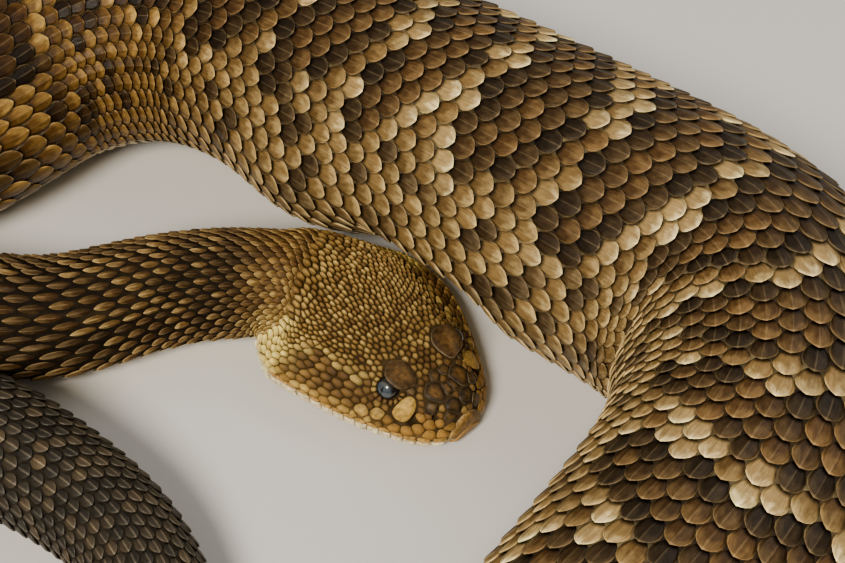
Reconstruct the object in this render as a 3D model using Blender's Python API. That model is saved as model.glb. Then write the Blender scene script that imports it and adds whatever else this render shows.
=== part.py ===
"""A coiled rattlesnake at life size, lying on the floor.

The whole animal is one swept form.  Its spine is a smooth plan curve through
a few named bends, from the tip of the snout to the rattle, and a cross
section is carried along it: a wedge-shaped head, a narrow neck, a heavy body
that lies flat on its belly, and a short tail.  The form is parted into a few
lengths with thin cuts.  Metres, +Z up, the floor at z = 0, the origin on the
floor at the middle of the coil's bounding box.
"""

import math

import bmesh
import bpy
import numpy as np

MM = 0.001
GAP = 0.3  # mm, the cut between neighbouring lengths

# ---------------------------------------------------------------- dimensions
HEAD_LENGTH = 58.0  # snout to the end of the jaw
HEAD_STRAIGHT = 38.0  # the skull: this much of the spine is straight
HEAD_YAW = -47.0  # degrees, the way the snout points, from +X towards +Y
EYE_RADIUS = 3.0
EYE_AT = (17.0, 10.8, 15.7)  # back from the snout, out from the midline, up
PIT_AT = (7.8, 11.1, 10.9)
PIT_RADIUS = 1.35
NOSTRIL_AT = (3.8, 7.2, 12.1)
NOSTRIL_RADIUS = 0.95
VENT_AT = 1320.0  # along the spine: the tail begins
TAIL_CUT = 1388.0
RATTLE_LENGTH = 31.0
RATTLE_SEGMENTS = 8
COIL_CENTRE = (-79.3, 184.7)  # mm, middle of the coil in the plan below

# The spine in plan, mm: the snout, then each bend in turn.
SNOUT = (11.1, 205.0)
BENDS = (
    (-24.0, 240.0),  # nape, where the neck turns away from the head
    (-35.0, 243.6),
    (-52.0, 244.4),
    (-72.0, 240.5),
    (-95.0, 232.8),
    (-122.0, 233.3),  # neck
    (-152.0, 231.2),
    (-186.0, 226.0),
    (-220.0, 230.0),
    (-247.0, 249.0),  # the front of the body doubles back
    (-255.0, 279.0),
    (-238.0, 305.0),
    (-206.0, 308.0),
    (-175.0, 288.5),
    (-141.0, 290.0),
    (-110.0, 317.0),  # far side of the coil
    (-70.0, 327.5),
    (-27.0, 307.0),
    (13.0, 276.5),
    (48.0, 249.0),
    (77.5, 220.5),  # the sharp bend
    (80.5, 184.0),
    (62.0, 152.0),
    (34.0, 119.0),
    (-5.0, 75.0),  # near side of the coil
    (-60.0, 41.0),
    (-120.0, 36.0),
    (-178.0, 54.0),
    (-213.0, 95.0),
    (-216.0, 142.0),
    (-190.0, 176.0),
    (-152.0, 188.8),
    (-116.0, 197.3),  # the tail begins
    (-93.0, 187.5),
    (-71.5, 171.5),
    (-59.0, 154.0),
    (-53.0, 130.0),
    (-59.0, 108.0),
    (-76.0, 94.0),  # the rattle begins
    (-90.0, 91.0),
    (-108.0, 92.0),
)

# Half width of the body against the distance from the snout, mm.
GIRTH = (
    (57.0, 16.6),
    (66.0, 15.0),
    (85.0, 15.2),
    (120.0, 16.3),
    (160.0, 17.2),
    (230.0, 20.0),
    (320.0, 26.0),
    (400.0, 31.0),
    (455.0, 34.5),
    (520.0, 36.6),
    (600.0, 37.8),
    (680.0, 39.8),
    (760.0, 39.0),
    (860.0, 36.0),
    (960.0, 32.0),
    (1060.0, 27.5),
    (1150.0, 22.5),
    (1220.0, 19.2),
    (1268.0, 18.2),
    (1310.0, 16.9),
    (1350.0, 14.5),
    (1395.0, 11.2),
    (1430.0, 8.6),
    (1455.0, 7.4),
)
JAW_ANGLE_AT = (45.0, -20.0)  # the right jaw stays straight where the neck bends away behind it
JAW_ANGLE_OUT = (8.5, -4.4)  # how far it stands back and out
FLATNESS = 0.87  # height of the heavy body against its width
ROUNDNESS = 0.94  # the same for the neck and the tail
DENT_AT = 640.0  # along the spine: the inner flank gives way where the head lies against it
DENT_REACH = 24.0
DENT_DEPTH = 6.5
SAG_AT = 598.0  # just before that the same flank sags towards the neck
SAG_REACH = 20.0
SAG_DEPTH = 4.5

# The head, against the distance from the snout, mm: half width at the lips,
# half width of the flat crown, height of the crown, height of the mouth line.
HEAD_WIDTH = ((0.0, 4.7), (1.2, 7.3), (3.0, 9.8), (6.0, 12.6), (10.0, 15.1), (15.0, 17.8),
              (20.0, 20.3), (26.0, 22.7), (32.0, 24.4), (38.0, 25.2), (44.0, 24.9),
              (49.0, 22.7), (53.0, 20.0), (58.0, 16.9), (66.0, 15.0))
CROWN_WIDTH = ((0.0, 2.0), (1.2, 3.9), (3.0, 5.6), (6.0, 7.1), (10.0, 8.2), (14.0, 9.8), (19.0, 11.6),
               (24.0, 12.2), (30.0, 13.1), (38.0, 15.0), (46.0, 15.6), (52.0, 14.4), (57.0, 13.0),
               (66.0, 12.0))
CROWN_HEIGHT = ((0.0, 10.4), (1.2, 12.4), (3.0, 13.9), (6.0, 15.2), (10.0, 16.6), (14.0, 18.2), (19.0, 20.0),
                (24.0, 20.8), (32.0, 21.4), (40.0, 22.0), (48.0, 22.8), (57.0, 24.0), (66.0, 26.0))
MOUTH_HEIGHT = ((0.0, 4.4), (6.0, 4.6), (14.0, 5.2), (24.0, 6.4), (34.0, 7.4), (42.0, 7.2), (49.0, 5.6))
CHIN_HEIGHT = ((0.0, 2.2), (3.0, 1.0), (7.0, 0.2), (10.0, 0.0))


# ------------------------------------------------------------ small geometry
def spline(knots, values, start=None):
    """Natural cubic spline through values at knots, as a function; start is the slope at the first knot."""
    knots = np.asarray(knots, float)
    values = np.asarray(values, float)
    count = len(knots)
    gap = np.diff(knots)
    matrix = np.zeros((count, count))
    right = np.zeros((count,) + values.shape[1:])
    matrix[0, 0] = matrix[-1, -1] = 1.0
    if start is not None:
        matrix[0, :2] = 2 * gap[0], gap[0]
        right[0] = 6 * ((values[1] - values[0]) / gap[0] - np.asarray(start))
    for i in range(1, count - 1):
        matrix[i, i - 1 : i + 2] = gap[i - 1], 2 * (gap[i - 1] + gap[i]), gap[i]
        right[i] = 6 * ((values[i + 1] - values[i]) / gap[i] - (values[i] - values[i - 1]) / gap[i - 1])
    bend = np.linalg.solve(matrix, right)

    def at(where):
        where = np.asarray(where, float)
        i = np.clip(np.searchsorted(knots, where) - 1, 0, count - 2)
        shape = (-1,) + (1,) * (values.ndim - 1)
        h = gap[i].reshape(shape)
        a = ((knots[i + 1] - where)).reshape(shape) / h
        b = 1 - a
        return (
            a * values[i]
            + b * values[i + 1]
            + ((a**3 - a) * bend[i] + (b**3 - b) * bend[i + 1]) * h**2 / 6
        )

    return at


def table(pairs):
    """A smooth curve through a short table of (distance, size), which never swings past its entries."""
    x, y = np.array(pairs, float).T
    slope = np.diff(y) / np.diff(x)
    m = np.concatenate([[slope[0]], np.zeros(len(x) - 2), [slope[-1]]])
    for i in range(1, len(x) - 1):
        if slope[i - 1] * slope[i] > 0:
            w1, w2 = 2 * (x[i + 1] - x[i]) + x[i] - x[i - 1], x[i + 1] - x[i] + 2 * (x[i] - x[i - 1])
            m[i] = (w1 + w2) / (w1 / slope[i - 1] + w2 / slope[i])

    def at(where):
        where = np.clip(np.asarray(where, float), x[0], x[-1])
        i = np.clip(np.searchsorted(x, where) - 1, 0, len(x) - 2)
        h = x[i + 1] - x[i]
        t = (where - x[i]) / h
        return (
            (1 + 2 * t) * (1 - t) ** 2 * y[i]
            + t * (1 - t) ** 2 * h * m[i]
            + t * t * (3 - 2 * t) * y[i + 1]
            + t * t * (t - 1) * h * m[i + 1]
        )

    return at


def ramp(value, low, high):
    t = np.clip((np.asarray(value, float) - low) / (high - low), 0, 1)
    return t * t * (3 - 2 * t)


# ------------------------------------------------------------------ the spine
def make_spine():
    """Plan position and forward direction against the distance from the snout, mm."""
    yaw = math.radians(HEAD_YAW)
    back = -np.array((math.cos(yaw), math.sin(yaw)))
    skull = np.array(SNOUT) + HEAD_STRAIGHT * back
    points = np.vstack([skull, BENDS])
    chord = np.concatenate([[0], np.cumsum(np.hypot(*np.diff(points, axis=0).T))])
    curve = spline(chord, points, start=back)
    fine = curve(np.linspace(0, chord[-1], 6000))
    along = HEAD_STRAIGHT + np.concatenate([[0], np.cumsum(np.hypot(*np.diff(fine, axis=0).T))])

    def at(s):
        s = np.asarray(s, float)
        bent = np.stack([np.interp(s, along, fine[:, k]) for k in (0, 1)], -1)
        straight = np.array(SNOUT) + s[..., None] * back
        return np.where((s < HEAD_STRAIGHT)[..., None], straight, bent)

    return at, along[-1]


SPINE, SPINE_LENGTH = make_spine()
RATTLE_AT = SPINE_LENGTH - RATTLE_LENGTH
HALF_WIDTH = table(GIRTH)
HEAD_W, CROWN_W, CROWN_Z, MOUTH_Z, CHIN_Z = (
    table(t) for t in (HEAD_WIDTH, CROWN_WIDTH, CROWN_HEIGHT, MOUTH_HEIGHT, CHIN_HEIGHT)
)


def frame(s):
    """Plan position, direction towards the tail, direction to the animal's left, and the bend (1/mm, + to its left)."""
    step = 1.5
    here, ahead, behind = SPINE(s), SPINE(s + step), SPINE(np.maximum(s - step, 0))
    tail = ahead - behind
    tail /= np.linalg.norm(tail, axis=-1, keepdims=True)
    left = np.stack([tail[..., 1], -tail[..., 0]], -1)
    near = np.minimum(np.maximum(s, 8.0), SPINE_LENGTH - 8.0)
    turn = (SPINE(near + 7) - 2 * SPINE(near) + SPINE(near - 7)) / 49.0
    return here, tail, left, (turn * left).sum(-1)


# --------------------------------------------------------------- the sections
def body_section(s, angle):
    """(out, up) of the body's skin at an angle from the middle of the back."""
    a = HALF_WIDTH(s)
    thick = ramp(a, 17.0, 31.0)
    height = 2 * a * (ROUNDNESS + (FLATNESS - ROUNDNESS) * thick)
    middle = 0.485 * height
    up = np.where(
        np.cos(angle) > 0,
        middle + (height - middle) * np.cos(angle),
        middle * (1 + 1.10 * np.cos(angle)),
    )
    # a low ridge along the backbone
    up = up + 0.018 * height * np.exp(-((angle / 0.35) ** 2))
    dent = DENT_DEPTH * np.exp(-(((s - DENT_AT) / DENT_REACH) ** 4))
    dent = dent * (1 - ramp(up, 0.24 * height, 0.50 * height)) * ramp(np.sin(angle), 0.15, 0.6)
    sag = SAG_DEPTH * np.exp(-(((s - SAG_AT) / SAG_REACH) ** 2))
    sag = sag * (1 - ramp(up, 0.35 * height, 0.80 * height)) * ramp(np.sin(angle), 0.15, 0.6)
    return a * np.sin(angle) - dent + sag, np.maximum(up, 0.0)


def head_section(s, angle):
    """(out, up) of the head at an angle from the middle of the crown: a flat crown, a brow, wide cheeks and a shallow jaw."""
    w, c, top, mouth, chin = HEAD_W(s), CROWN_W(s), CROWN_Z(s), MOUTH_Z(s), CHIN_Z(s)
    cheek = mouth + 0.22 * (top - mouth)
    turn = np.abs(angle) / math.pi  # 0 on the crown, 1 under the chin
    stops = np.array((0.0, 0.13, 0.26, 0.36, 0.50, 0.60, 0.68, 0.80, 0.90, 1.0))
    outs = (0 * w, 0.52 * c, 0.97 * c, 0.45 * c + 0.53 * w, w, 0.99 * w, 0.94 * w, 0.73 * w, 0.37 * w, 0 * w)
    ups = (
        top,
        top - 0.015 * top,
        top - 0.085 * top,
        0.45 * top + 0.55 * cheek,
        cheek,
        mouth,
        0.45 * mouth + 0.55 * chin,
        0.12 * mouth + 0.88 * chin,
        chin,
        chin,
    )
    out, up = np.zeros(np.broadcast(w, turn).shape), np.zeros(np.broadcast(w, turn).shape)
    turn = np.broadcast_to(turn, out.shape)
    k = np.clip(np.searchsorted(stops, turn, side="right") - 1, 0, len(stops) - 2)
    t = (turn - stops[k]) / (stops[k + 1] - stops[k])
    outs, ups = (np.stack([np.broadcast_to(v, out.shape) for v in vs]) for vs in (outs, ups))

    def pick(values, i):
        return np.take_along_axis(values, np.clip(i, 0, len(stops) - 1)[None], 0)[0]

    def smooth(values, odd):
        before, here, there, after = (pick(values, k + d) for d in (-1, 0, 1, 2))
        before = np.where(k == 0, -there if odd else there, before)
        after = np.where(k == len(stops) - 2, -here if odd else here, after)
        h = stops[np.minimum(k + 1, len(stops) - 1)] - stops[k]
        h0 = np.where(k == 0, h, h * 0 + stops[k] - stops[np.maximum(k - 1, 0)])
        h1 = np.where(k >= len(stops) - 2, h, stops[np.minimum(k + 2, len(stops) - 1)] - stops[np.minimum(k + 1, len(stops) - 1)])
        m0 = (there - before) / (h + h0) * h
        m1 = (after - here) / (h + h1) * h
        return (
            (1 + 2 * t) * (1 - t) ** 2 * here
            + t * (1 - t) ** 2 * m0
            + t * t * (3 - 2 * t) * there
            + t * t * (t - 1) * m1
        )

    return np.sign(angle) * smooth(outs, True), np.maximum(smooth(ups, False), 0.0)


def section(s, angle):
    """(out, up) anywhere on the animal: the head runs into the body over the nape."""
    s, angle = np.broadcast_arrays(np.asarray(s, float), np.asarray(angle, float))
    mix = ramp(s, 46.0, 66.0)
    head, body = head_section(np.minimum(s, 66.0), angle), body_section(np.maximum(s, 57.0), angle)
    return tuple(h * (1 - mix) + b * mix for h, b in zip(head, body))


def surface(s, angle, shrink=0.0):
    """World points, mm.  Inside a bend the skin bunches up and never crosses itself."""
    s, angle = np.broadcast_arrays(np.asarray(s, float), np.asarray(angle, float))
    out, up = section(s, angle)
    here, tail, left, bend = frame(s)
    inward = out * bend
    room = np.where(inward > 0.55, 0.55 + 0.41 * np.tanh((inward - 0.55) / 0.41), inward)
    out = np.where(inward > 0.55, out * room / np.maximum(inward, 1e-9), out)
    plan = here + left * out[..., None]
    yaw = math.radians(HEAD_YAW)
    back, side = -np.array((math.cos(yaw), math.sin(yaw))), np.array((-math.sin(yaw), math.cos(yaw)))
    corner = np.array(SNOUT) + JAW_ANGLE_AT[0] * back + JAW_ANGLE_AT[1] * side
    far = ((plan - corner) ** 2).sum(-1) / 8.5**2 + (np.maximum(up - 9.0, 0.0) / 7.0) ** 2
    push = np.where(s < 90.0, np.exp(-far), 0.0)[..., None]
    plan = plan + push * (JAW_ANGLE_OUT[0] * back + JAW_ANGLE_OUT[1] * side) - np.array(COIL_CENTRE)
    return np.concatenate([plan, up[..., None]], -1)


# ------------------------------------------------------------------ the meshes
def make_object(name, points, faces, material):
    mesh = bpy.data.meshes.new(name)
    mesh.from_pydata([tuple(p * MM) for p in points], [], faces)
    builder = bmesh.new()
    builder.from_mesh(mesh)
    bmesh.ops.remove_doubles(builder, verts=builder.verts, dist=0.02 * MM)
    bmesh.ops.recalc_face_normals(builder, faces=builder.faces)
    builder.to_mesh(mesh)
    builder.free()
    mesh.shade_smooth()
    mesh.set_sharp_from_angle(angle=math.radians(50))
    made = bpy.data.objects.new(name, mesh)
    bpy.context.scene.collection.objects.link(made)
    mesh.materials.append(material)
    return made


def make_material(name, colour, roughness):
    made = bpy.data.materials.new(name)
    made.use_nodes = True
    shader = made.node_tree.nodes["Principled BSDF"]
    shader.inputs["Base Color"].default_value = (*colour, 1)
    shader.inputs["Roughness"].default_value = roughness
    shader.inputs["Metallic"].default_value = 0.0
    made.diffuse_color = (*colour, 1)
    return made


def loft(name, rings, material):
    """A closed body through rings of equal length, with flat ends."""
    count, around = len(rings), len(rings[0])
    points = np.concatenate(rings)
    faces = []
    for i in range(count - 1):
        for j in range(around):
            k = (j + 1) % around
            faces.append((i * around + j, i * around + k, (i + 1) * around + k, (i + 1) * around + j))
    # each end is closed by a fan about its middle, so that two ends that face each other match
    middles = [rings[0].mean(0), rings[-1].mean(0)]
    points = np.vstack([points, middles])
    last = (count - 1) * around
    for j in range(around):
        k = (j + 1) % around
        faces.append((count * around, k, j))
        faces.append((count * around + 1, last + j, last + k))
    return make_object(name, points, faces, material)


# Angles round the body: closer over the flanks, with two on the edges of the flat belly.
AROUND = np.radians((0, 20, 40, 58, 74, 90, 106, 122, 138, 152.3, 166, 180))
AROUND = np.concatenate([-AROUND[1:-1][::-1], AROUND])
# The same round the head: the part above the mouth line, then the rest down to the floor.
UPPER = np.radians((0, 12, 24, 36, 47, 58, 70, 82, 94, 104))
UPPER = np.concatenate([-UPPER[1:][::-1], UPPER])
LIP = math.radians(108)
UNDER = np.radians((122, 148, 180, -148, -122))
HEAD_AROUND = np.concatenate([[-LIP], UPPER, [LIP], UNDER])


def length_of_body(name, start, end, material, spacing=13.0, around=AROUND):
    """One length of the body, between two cuts."""
    start, end = start + GAP / 2, end - GAP / 2
    stations = np.linspace(start, end, max(3, int(round((end - start) / spacing)) + 1))
    return loft(name, [surface(np.full(len(around), s), around) for s in stations], material)


HEAD_STATIONS = np.array((0.0, 0.35, 1.2, 3.0, 5.5, 8.5, 12.0, 15.5, 19.0, 22.5, 26.5, 31.0, 36.0, 41.0, 46.0, 51.0, HEAD_LENGTH - GAP / 2))
MOUTH_END = 45.0


def head_ring(s, angles):
    points = surface(np.full(len(angles), s), angles)
    if s < 0.3:  # the blunt end of the snout
        points[:, 2] = points[:, 2].mean() + 0.86 * (points[:, 2] - points[:, 2].mean())
    return points


def cut_with_mouth(points, mouth, upper):
    """The part of a ring above or below the mouth line, with half the gap taken off."""
    points = points.copy()
    if upper:
        points[:, 2] = np.maximum(points[:, 2], mouth + GAP / 2)
    else:
        points[:, 2] = np.minimum(points[:, 2], mouth - GAP / 2)
    return points


def above_mouth(s):
    """A ring of the head down to the mouth line, closed straight across it."""
    mouth = float(MOUTH_Z(s)) + GAP / 2
    ring = cut_with_mouth(head_ring(s, UPPER), float(MOUTH_Z(s)), True)
    edge = surface(np.array([s, s]), np.array([-LIP, LIP]))
    edge[:, 2] = mouth
    roof = np.array([edge[0] * (1 - f) + edge[1] * f for f in (0.92, 0.75, 0.5, 0.25, 0.08)])
    return np.vstack([edge[:1], ring, edge[1:], roof])


def make_head(skin):
    """The head above the mouth line; behind the corner of the mouth it reaches down to the floor."""
    rings = [above_mouth(s) for s in HEAD_STATIONS if s < MOUTH_END]
    rings.append(above_mouth(MOUTH_END))
    behind = [MOUTH_END + 0.05] + [s for s in HEAD_STATIONS if s > MOUTH_END]
    rings += [surface(np.full(len(HEAD_AROUND), s), HEAD_AROUND) for s in behind]
    return loft("head", rings, skin)


def make_jaw(lip):
    angles = np.radians(np.array((108, 118, 130, 144, 158, 170, 180)))
    angles = np.concatenate([angles, -angles[:-1][::-1]])
    stations = [s for s in HEAD_STATIONS if 0.3 < s < MOUTH_END - 2] + [MOUTH_END - 1.2]
    rings = []
    for s in stations:
        mouth = float(MOUTH_Z(s)) - 0.1
        ring = cut_with_mouth(head_ring(s, angles), mouth, False)
        first, last = ring[0].copy(), ring[-1].copy()
        first[2] = last[2] = mouth - GAP / 2
        ring[0], ring[-1] = first, last
        deck = np.array([last * (1 - f) + first * f for f in (0.25, 0.5, 0.75)])
        rings.append(np.vstack([ring, deck]))
    return loft("lower_jaw", rings, lip)


def head_point(back, out, up, side):
    """World point of a place on the head, given from the snout, the midline and the floor."""
    here, tail, left, _ = frame(np.array([back]))
    plan = here[0] + left[0] * out * side - np.array(COIL_CENTRE)
    return np.array((*plan, up))


def ball(name, centre, radius, material, segments=14, rings=9, squash=1.0):
    mesh = bpy.data.meshes.new(name)
    builder = bmesh.new()
    bmesh.ops.create_uvsphere(builder, u_segments=segments, v_segments=rings, radius=radius * MM)
    builder.to_mesh(mesh)
    builder.free()
    mesh.shade_smooth()
    made = bpy.data.objects.new(name, mesh)
    made.location = centre * MM
    # the poles point out of the head, so the facets are even round the rim
    made.rotation_euler = (math.radians(90), 0, math.radians(HEAD_YAW))
    bpy.context.scene.collection.objects.link(made)
    if material:
        mesh.materials.append(material)
    return made


def hollow(target, centre, radius, segments=12, rings=8):
    """A round hollow in the head, cut with a ball."""
    cutter = ball(target.name + "_cutter", centre, radius, None, segments, rings)
    cutter.hide_render = True
    cutter.display_type = "WIRE"
    cutter.hide_set(True)
    cut = target.modifiers.new("hollow", "BOOLEAN")
    cut.operation = "DIFFERENCE"
    cut.object = cutter


def make_rattle(material):
    """A row of loosely linked, ribbed horny rings, higher than wide, each a little smaller than the one before."""
    rings = []
    around = np.radians(np.arange(0, 360, 30))
    start = RATTLE_AT + GAP
    pitch = (RATTLE_LENGTH - GAP - 0.5) / RATTLE_SEGMENTS
    for i in range(RATTLE_SEGMENTS):
        size = 1.0 - 0.045 * i
        last = i == RATTLE_SEGMENTS - 1
        for part, swell in ((0.06, 0.80), (0.32, 1.0), (0.70, 0.97), (0.94, 0.74 if not last else 0.42)):
            s = start + (i + part) * pitch
            wide, high = 4.6 * size * swell, 6.4 * size * swell
            here, tail, left, _ = frame(np.array([s]))
            out = wide * np.sin(around)
            up = np.maximum(6.0 * size + high * np.cos(around), 0.0)
            plan = here + left * out[:, None] - np.array(COIL_CENTRE)
            rings.append(np.concatenate([plan, up[:, None]], -1))
    return loft("rattle", rings, material)


def main():
    for old in list(bpy.data.objects):
        bpy.data.objects.remove(old, do_unlink=True)
    scene = bpy.context.scene
    scene.unit_settings.scale_length = 1.0

    crown = make_material("crown_scales", (0.20, 0.135, 0.065), 0.55)
    lip = make_material("lip_scales", (0.55, 0.44, 0.22), 0.5)
    brown = make_material("body_scales", (0.17, 0.11, 0.065), 0.5)
    tan = make_material("neck_scales", (0.22, 0.14, 0.07), 0.5)
    dark = make_material("tail_scales", (0.06, 0.052, 0.045), 0.5)
    horn = make_material("rattle_horn", (0.42, 0.33, 0.20), 0.45)
    wet = make_material("eye", (0.05, 0.06, 0.075), 0.08)

    head = make_head(crown)
    make_jaw(lip)
    for side, name in ((1, "eye_left"), (-1, "eye_right")):
        centre = head_point(*EYE_AT, side)
        ball(name, centre, EYE_RADIUS, wet)
        hollow(head, centre, EYE_RADIUS + GAP + 0.12, 14, 9)
        hollow(head, head_point(*PIT_AT, side), PIT_RADIUS, 8, 6)
        hollow(head, head_point(*NOSTRIL_AT, side), NOSTRIL_RADIUS, 8, 6)

    cuts = [HEAD_LENGTH, 185.0, 290.0, 395.0, 500.0, 610.0, 700.0, 800.0, 900.0, 1010.0, 1110.0, 1215.0, VENT_AT]
    length_of_body("neck", cuts[0], cuts[1], tan, 11.0, HEAD_AROUND)
    for i in range(1, len(cuts) - 1):
        length_of_body(f"trunk_{i}", cuts[i], cuts[i + 1], brown, 13.0)
    length_of_body("tail_1", VENT_AT, TAIL_CUT, dark, 12.0)
    length_of_body("tail_2", TAIL_CUT, RATTLE_AT, dark, 11.0)
    make_rattle(horn)


main()
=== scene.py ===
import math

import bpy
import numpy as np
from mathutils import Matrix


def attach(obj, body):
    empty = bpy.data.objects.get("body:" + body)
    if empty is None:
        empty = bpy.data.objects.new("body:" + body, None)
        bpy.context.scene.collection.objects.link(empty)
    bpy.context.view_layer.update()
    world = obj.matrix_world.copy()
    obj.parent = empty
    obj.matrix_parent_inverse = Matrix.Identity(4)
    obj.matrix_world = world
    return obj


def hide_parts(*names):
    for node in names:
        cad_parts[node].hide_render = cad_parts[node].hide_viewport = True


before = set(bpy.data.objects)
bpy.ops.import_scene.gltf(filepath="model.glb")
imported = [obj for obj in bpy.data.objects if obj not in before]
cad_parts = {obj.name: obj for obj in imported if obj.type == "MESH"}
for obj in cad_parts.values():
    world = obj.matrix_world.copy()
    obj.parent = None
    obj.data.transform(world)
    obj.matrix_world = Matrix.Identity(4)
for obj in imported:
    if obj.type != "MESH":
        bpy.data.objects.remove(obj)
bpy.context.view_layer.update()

# The looks of a coiled rattlesnake.  One skin covers the animal from snout to
# rattle.  Overlapping scales, each a thin closed solid, stand on it in rows:
# small keeled ones on the crown, narrow strongly keeled ones on the neck,
# broad ones on the body, dark ones on the tail, wide scutes below.  The head
# has its larger shields, lips, pits and nostrils.  Sizes are in millimetres
# and angles are measured from the middle of the back, + towards the animal's
# left, as in the solids.

MM = 0.001
RNG = np.random.default_rng(20)

# ------------------------------------------------- the animal's form, as built
HEAD_STRAIGHT = 38.0
HEAD_YAW = -47.0
EYE_RADIUS = 3.0
EYE_AT = (17.0, 10.8, 15.7)
PIT_AT = (7.8, 11.1, 10.9)
NOSTRIL_AT = (3.8, 7.2, 12.1)
VENT_AT = 1320.0
RATTLE_LENGTH = 31.0
RATTLE_SEGMENTS = 8
COIL_CENTRE = (-79.3, 184.7)
SNOUT = (11.1, 205.0)
BENDS = (
    (-24.0, 240.0), (-35.0, 243.6), (-52.0, 244.4), (-72.0, 240.5), (-95.0, 232.8), (-122.0, 233.3),
    (-152.0, 231.2), (-186.0, 226.0), (-220.0, 230.0), (-247.0, 249.0), (-255.0, 279.0), (-238.0, 305.0),
    (-206.0, 308.0), (-175.0, 288.5), (-141.0, 290.0), (-110.0, 317.0), (-70.0, 327.5), (-27.0, 307.0),
    (13.0, 276.5), (48.0, 249.0), (77.5, 220.5), (80.5, 184.0), (62.0, 152.0), (34.0, 119.0), (-5.0, 75.0),
    (-60.0, 41.0), (-120.0, 36.0), (-178.0, 54.0), (-213.0, 95.0), (-216.0, 142.0), (-190.0, 176.0),
    (-152.0, 188.8), (-116.0, 197.3), (-93.0, 187.5), (-71.5, 171.5), (-59.0, 154.0), (-53.0, 130.0),
    (-59.0, 108.0), (-76.0, 94.0), (-90.0, 91.0), (-108.0, 92.0),
)
GIRTH = (
    (57.0, 16.6), (66.0, 15.0), (85.0, 15.2), (120.0, 16.3), (160.0, 17.2), (230.0, 20.0), (320.0, 26.0),
    (400.0, 31.0), (455.0, 34.5), (520.0, 36.6), (600.0, 37.8), (680.0, 39.8), (760.0, 39.0), (860.0, 36.0),
    (960.0, 32.0), (1060.0, 27.5), (1150.0, 22.5), (1220.0, 19.2), (1268.0, 18.2), (1310.0, 16.9),
    (1350.0, 14.5), (1395.0, 11.2), (1430.0, 8.6), (1455.0, 7.4),
)
JAW_ANGLE_AT = (45.0, -20.0)
JAW_ANGLE_OUT = (8.5, -4.4)
FLATNESS = 0.87
ROUNDNESS = 0.94
DENT_AT = 640.0
DENT_REACH = 24.0
DENT_DEPTH = 6.5
SAG_AT = 598.0
SAG_REACH = 20.0
SAG_DEPTH = 4.5
HEAD_WIDTH = ((0.0, 4.7), (1.2, 7.3), (3.0, 9.8), (6.0, 12.6), (10.0, 15.1), (15.0, 17.8),
              (20.0, 20.3), (26.0, 22.7), (32.0, 24.4), (38.0, 25.2), (44.0, 24.9),
              (49.0, 22.7), (53.0, 20.0), (58.0, 16.9), (66.0, 15.0))
CROWN_WIDTH = ((0.0, 2.0), (1.2, 3.9), (3.0, 5.6), (6.0, 7.1), (10.0, 8.2), (14.0, 9.8), (19.0, 11.6),
               (24.0, 12.2), (30.0, 13.1), (38.0, 15.0), (46.0, 15.6), (52.0, 14.4), (57.0, 13.0),
               (66.0, 12.0))
CROWN_HEIGHT = ((0.0, 10.4), (1.2, 12.4), (3.0, 13.9), (6.0, 15.2), (10.0, 16.6), (14.0, 18.2), (19.0, 20.0),
                (24.0, 20.8), (32.0, 21.4), (40.0, 22.0), (48.0, 22.8), (57.0, 24.0), (66.0, 26.0))
MOUTH_HEIGHT = ((0.0, 4.4), (6.0, 4.6), (14.0, 5.2), (24.0, 6.4), (34.0, 7.4), (42.0, 7.2), (49.0, 5.6))
CHIN_HEIGHT = ((0.0, 2.2), (3.0, 1.0), (7.0, 0.2), (10.0, 0.0))
MOUTH_END = 45.0


def spline(knots, values, start=None):
    """Natural cubic spline through values at knots, as a function; start is the slope at the first knot."""
    knots = np.asarray(knots, float)
    values = np.asarray(values, float)
    count = len(knots)
    gap = np.diff(knots)
    matrix = np.zeros((count, count))
    right = np.zeros((count,) + values.shape[1:])
    matrix[0, 0] = matrix[-1, -1] = 1.0
    if start is not None:
        matrix[0, :2] = 2 * gap[0], gap[0]
        right[0] = 6 * ((values[1] - values[0]) / gap[0] - np.asarray(start))
    for i in range(1, count - 1):
        matrix[i, i - 1 : i + 2] = gap[i - 1], 2 * (gap[i - 1] + gap[i]), gap[i]
        right[i] = 6 * ((values[i + 1] - values[i]) / gap[i] - (values[i] - values[i - 1]) / gap[i - 1])
    bend = np.linalg.solve(matrix, right)

    def at(where):
        where = np.asarray(where, float)
        i = np.clip(np.searchsorted(knots, where) - 1, 0, count - 2)
        shape = (-1,) + (1,) * (values.ndim - 1)
        h = gap[i].reshape(shape)
        a = ((knots[i + 1] - where)).reshape(shape) / h
        b = 1 - a
        return a * values[i] + b * values[i + 1] + ((a**3 - a) * bend[i] + (b**3 - b) * bend[i + 1]) * h**2 / 6

    return at


def table(pairs):
    """A smooth curve through a short table of (distance, size), which never swings past its entries."""
    x, y = np.array(pairs, float).T
    slope = np.diff(y) / np.diff(x)
    m = np.concatenate([[slope[0]], np.zeros(len(x) - 2), [slope[-1]]])
    for i in range(1, len(x) - 1):
        if slope[i - 1] * slope[i] > 0:
            w1, w2 = 2 * (x[i + 1] - x[i]) + x[i] - x[i - 1], x[i + 1] - x[i] + 2 * (x[i] - x[i - 1])
            m[i] = (w1 + w2) / (w1 / slope[i - 1] + w2 / slope[i])

    def at(where):
        where = np.clip(np.asarray(where, float), x[0], x[-1])
        i = np.clip(np.searchsorted(x, where) - 1, 0, len(x) - 2)
        h = x[i + 1] - x[i]
        t = (where - x[i]) / h
        return (
            (1 + 2 * t) * (1 - t) ** 2 * y[i]
            + t * (1 - t) ** 2 * h * m[i]
            + t * t * (3 - 2 * t) * y[i + 1]
            + t * t * (t - 1) * h * m[i + 1]
        )

    return at


def ramp(value, low, high):
    t = np.clip((np.asarray(value, float) - low) / (high - low), 0, 1)
    return t * t * (3 - 2 * t)


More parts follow.
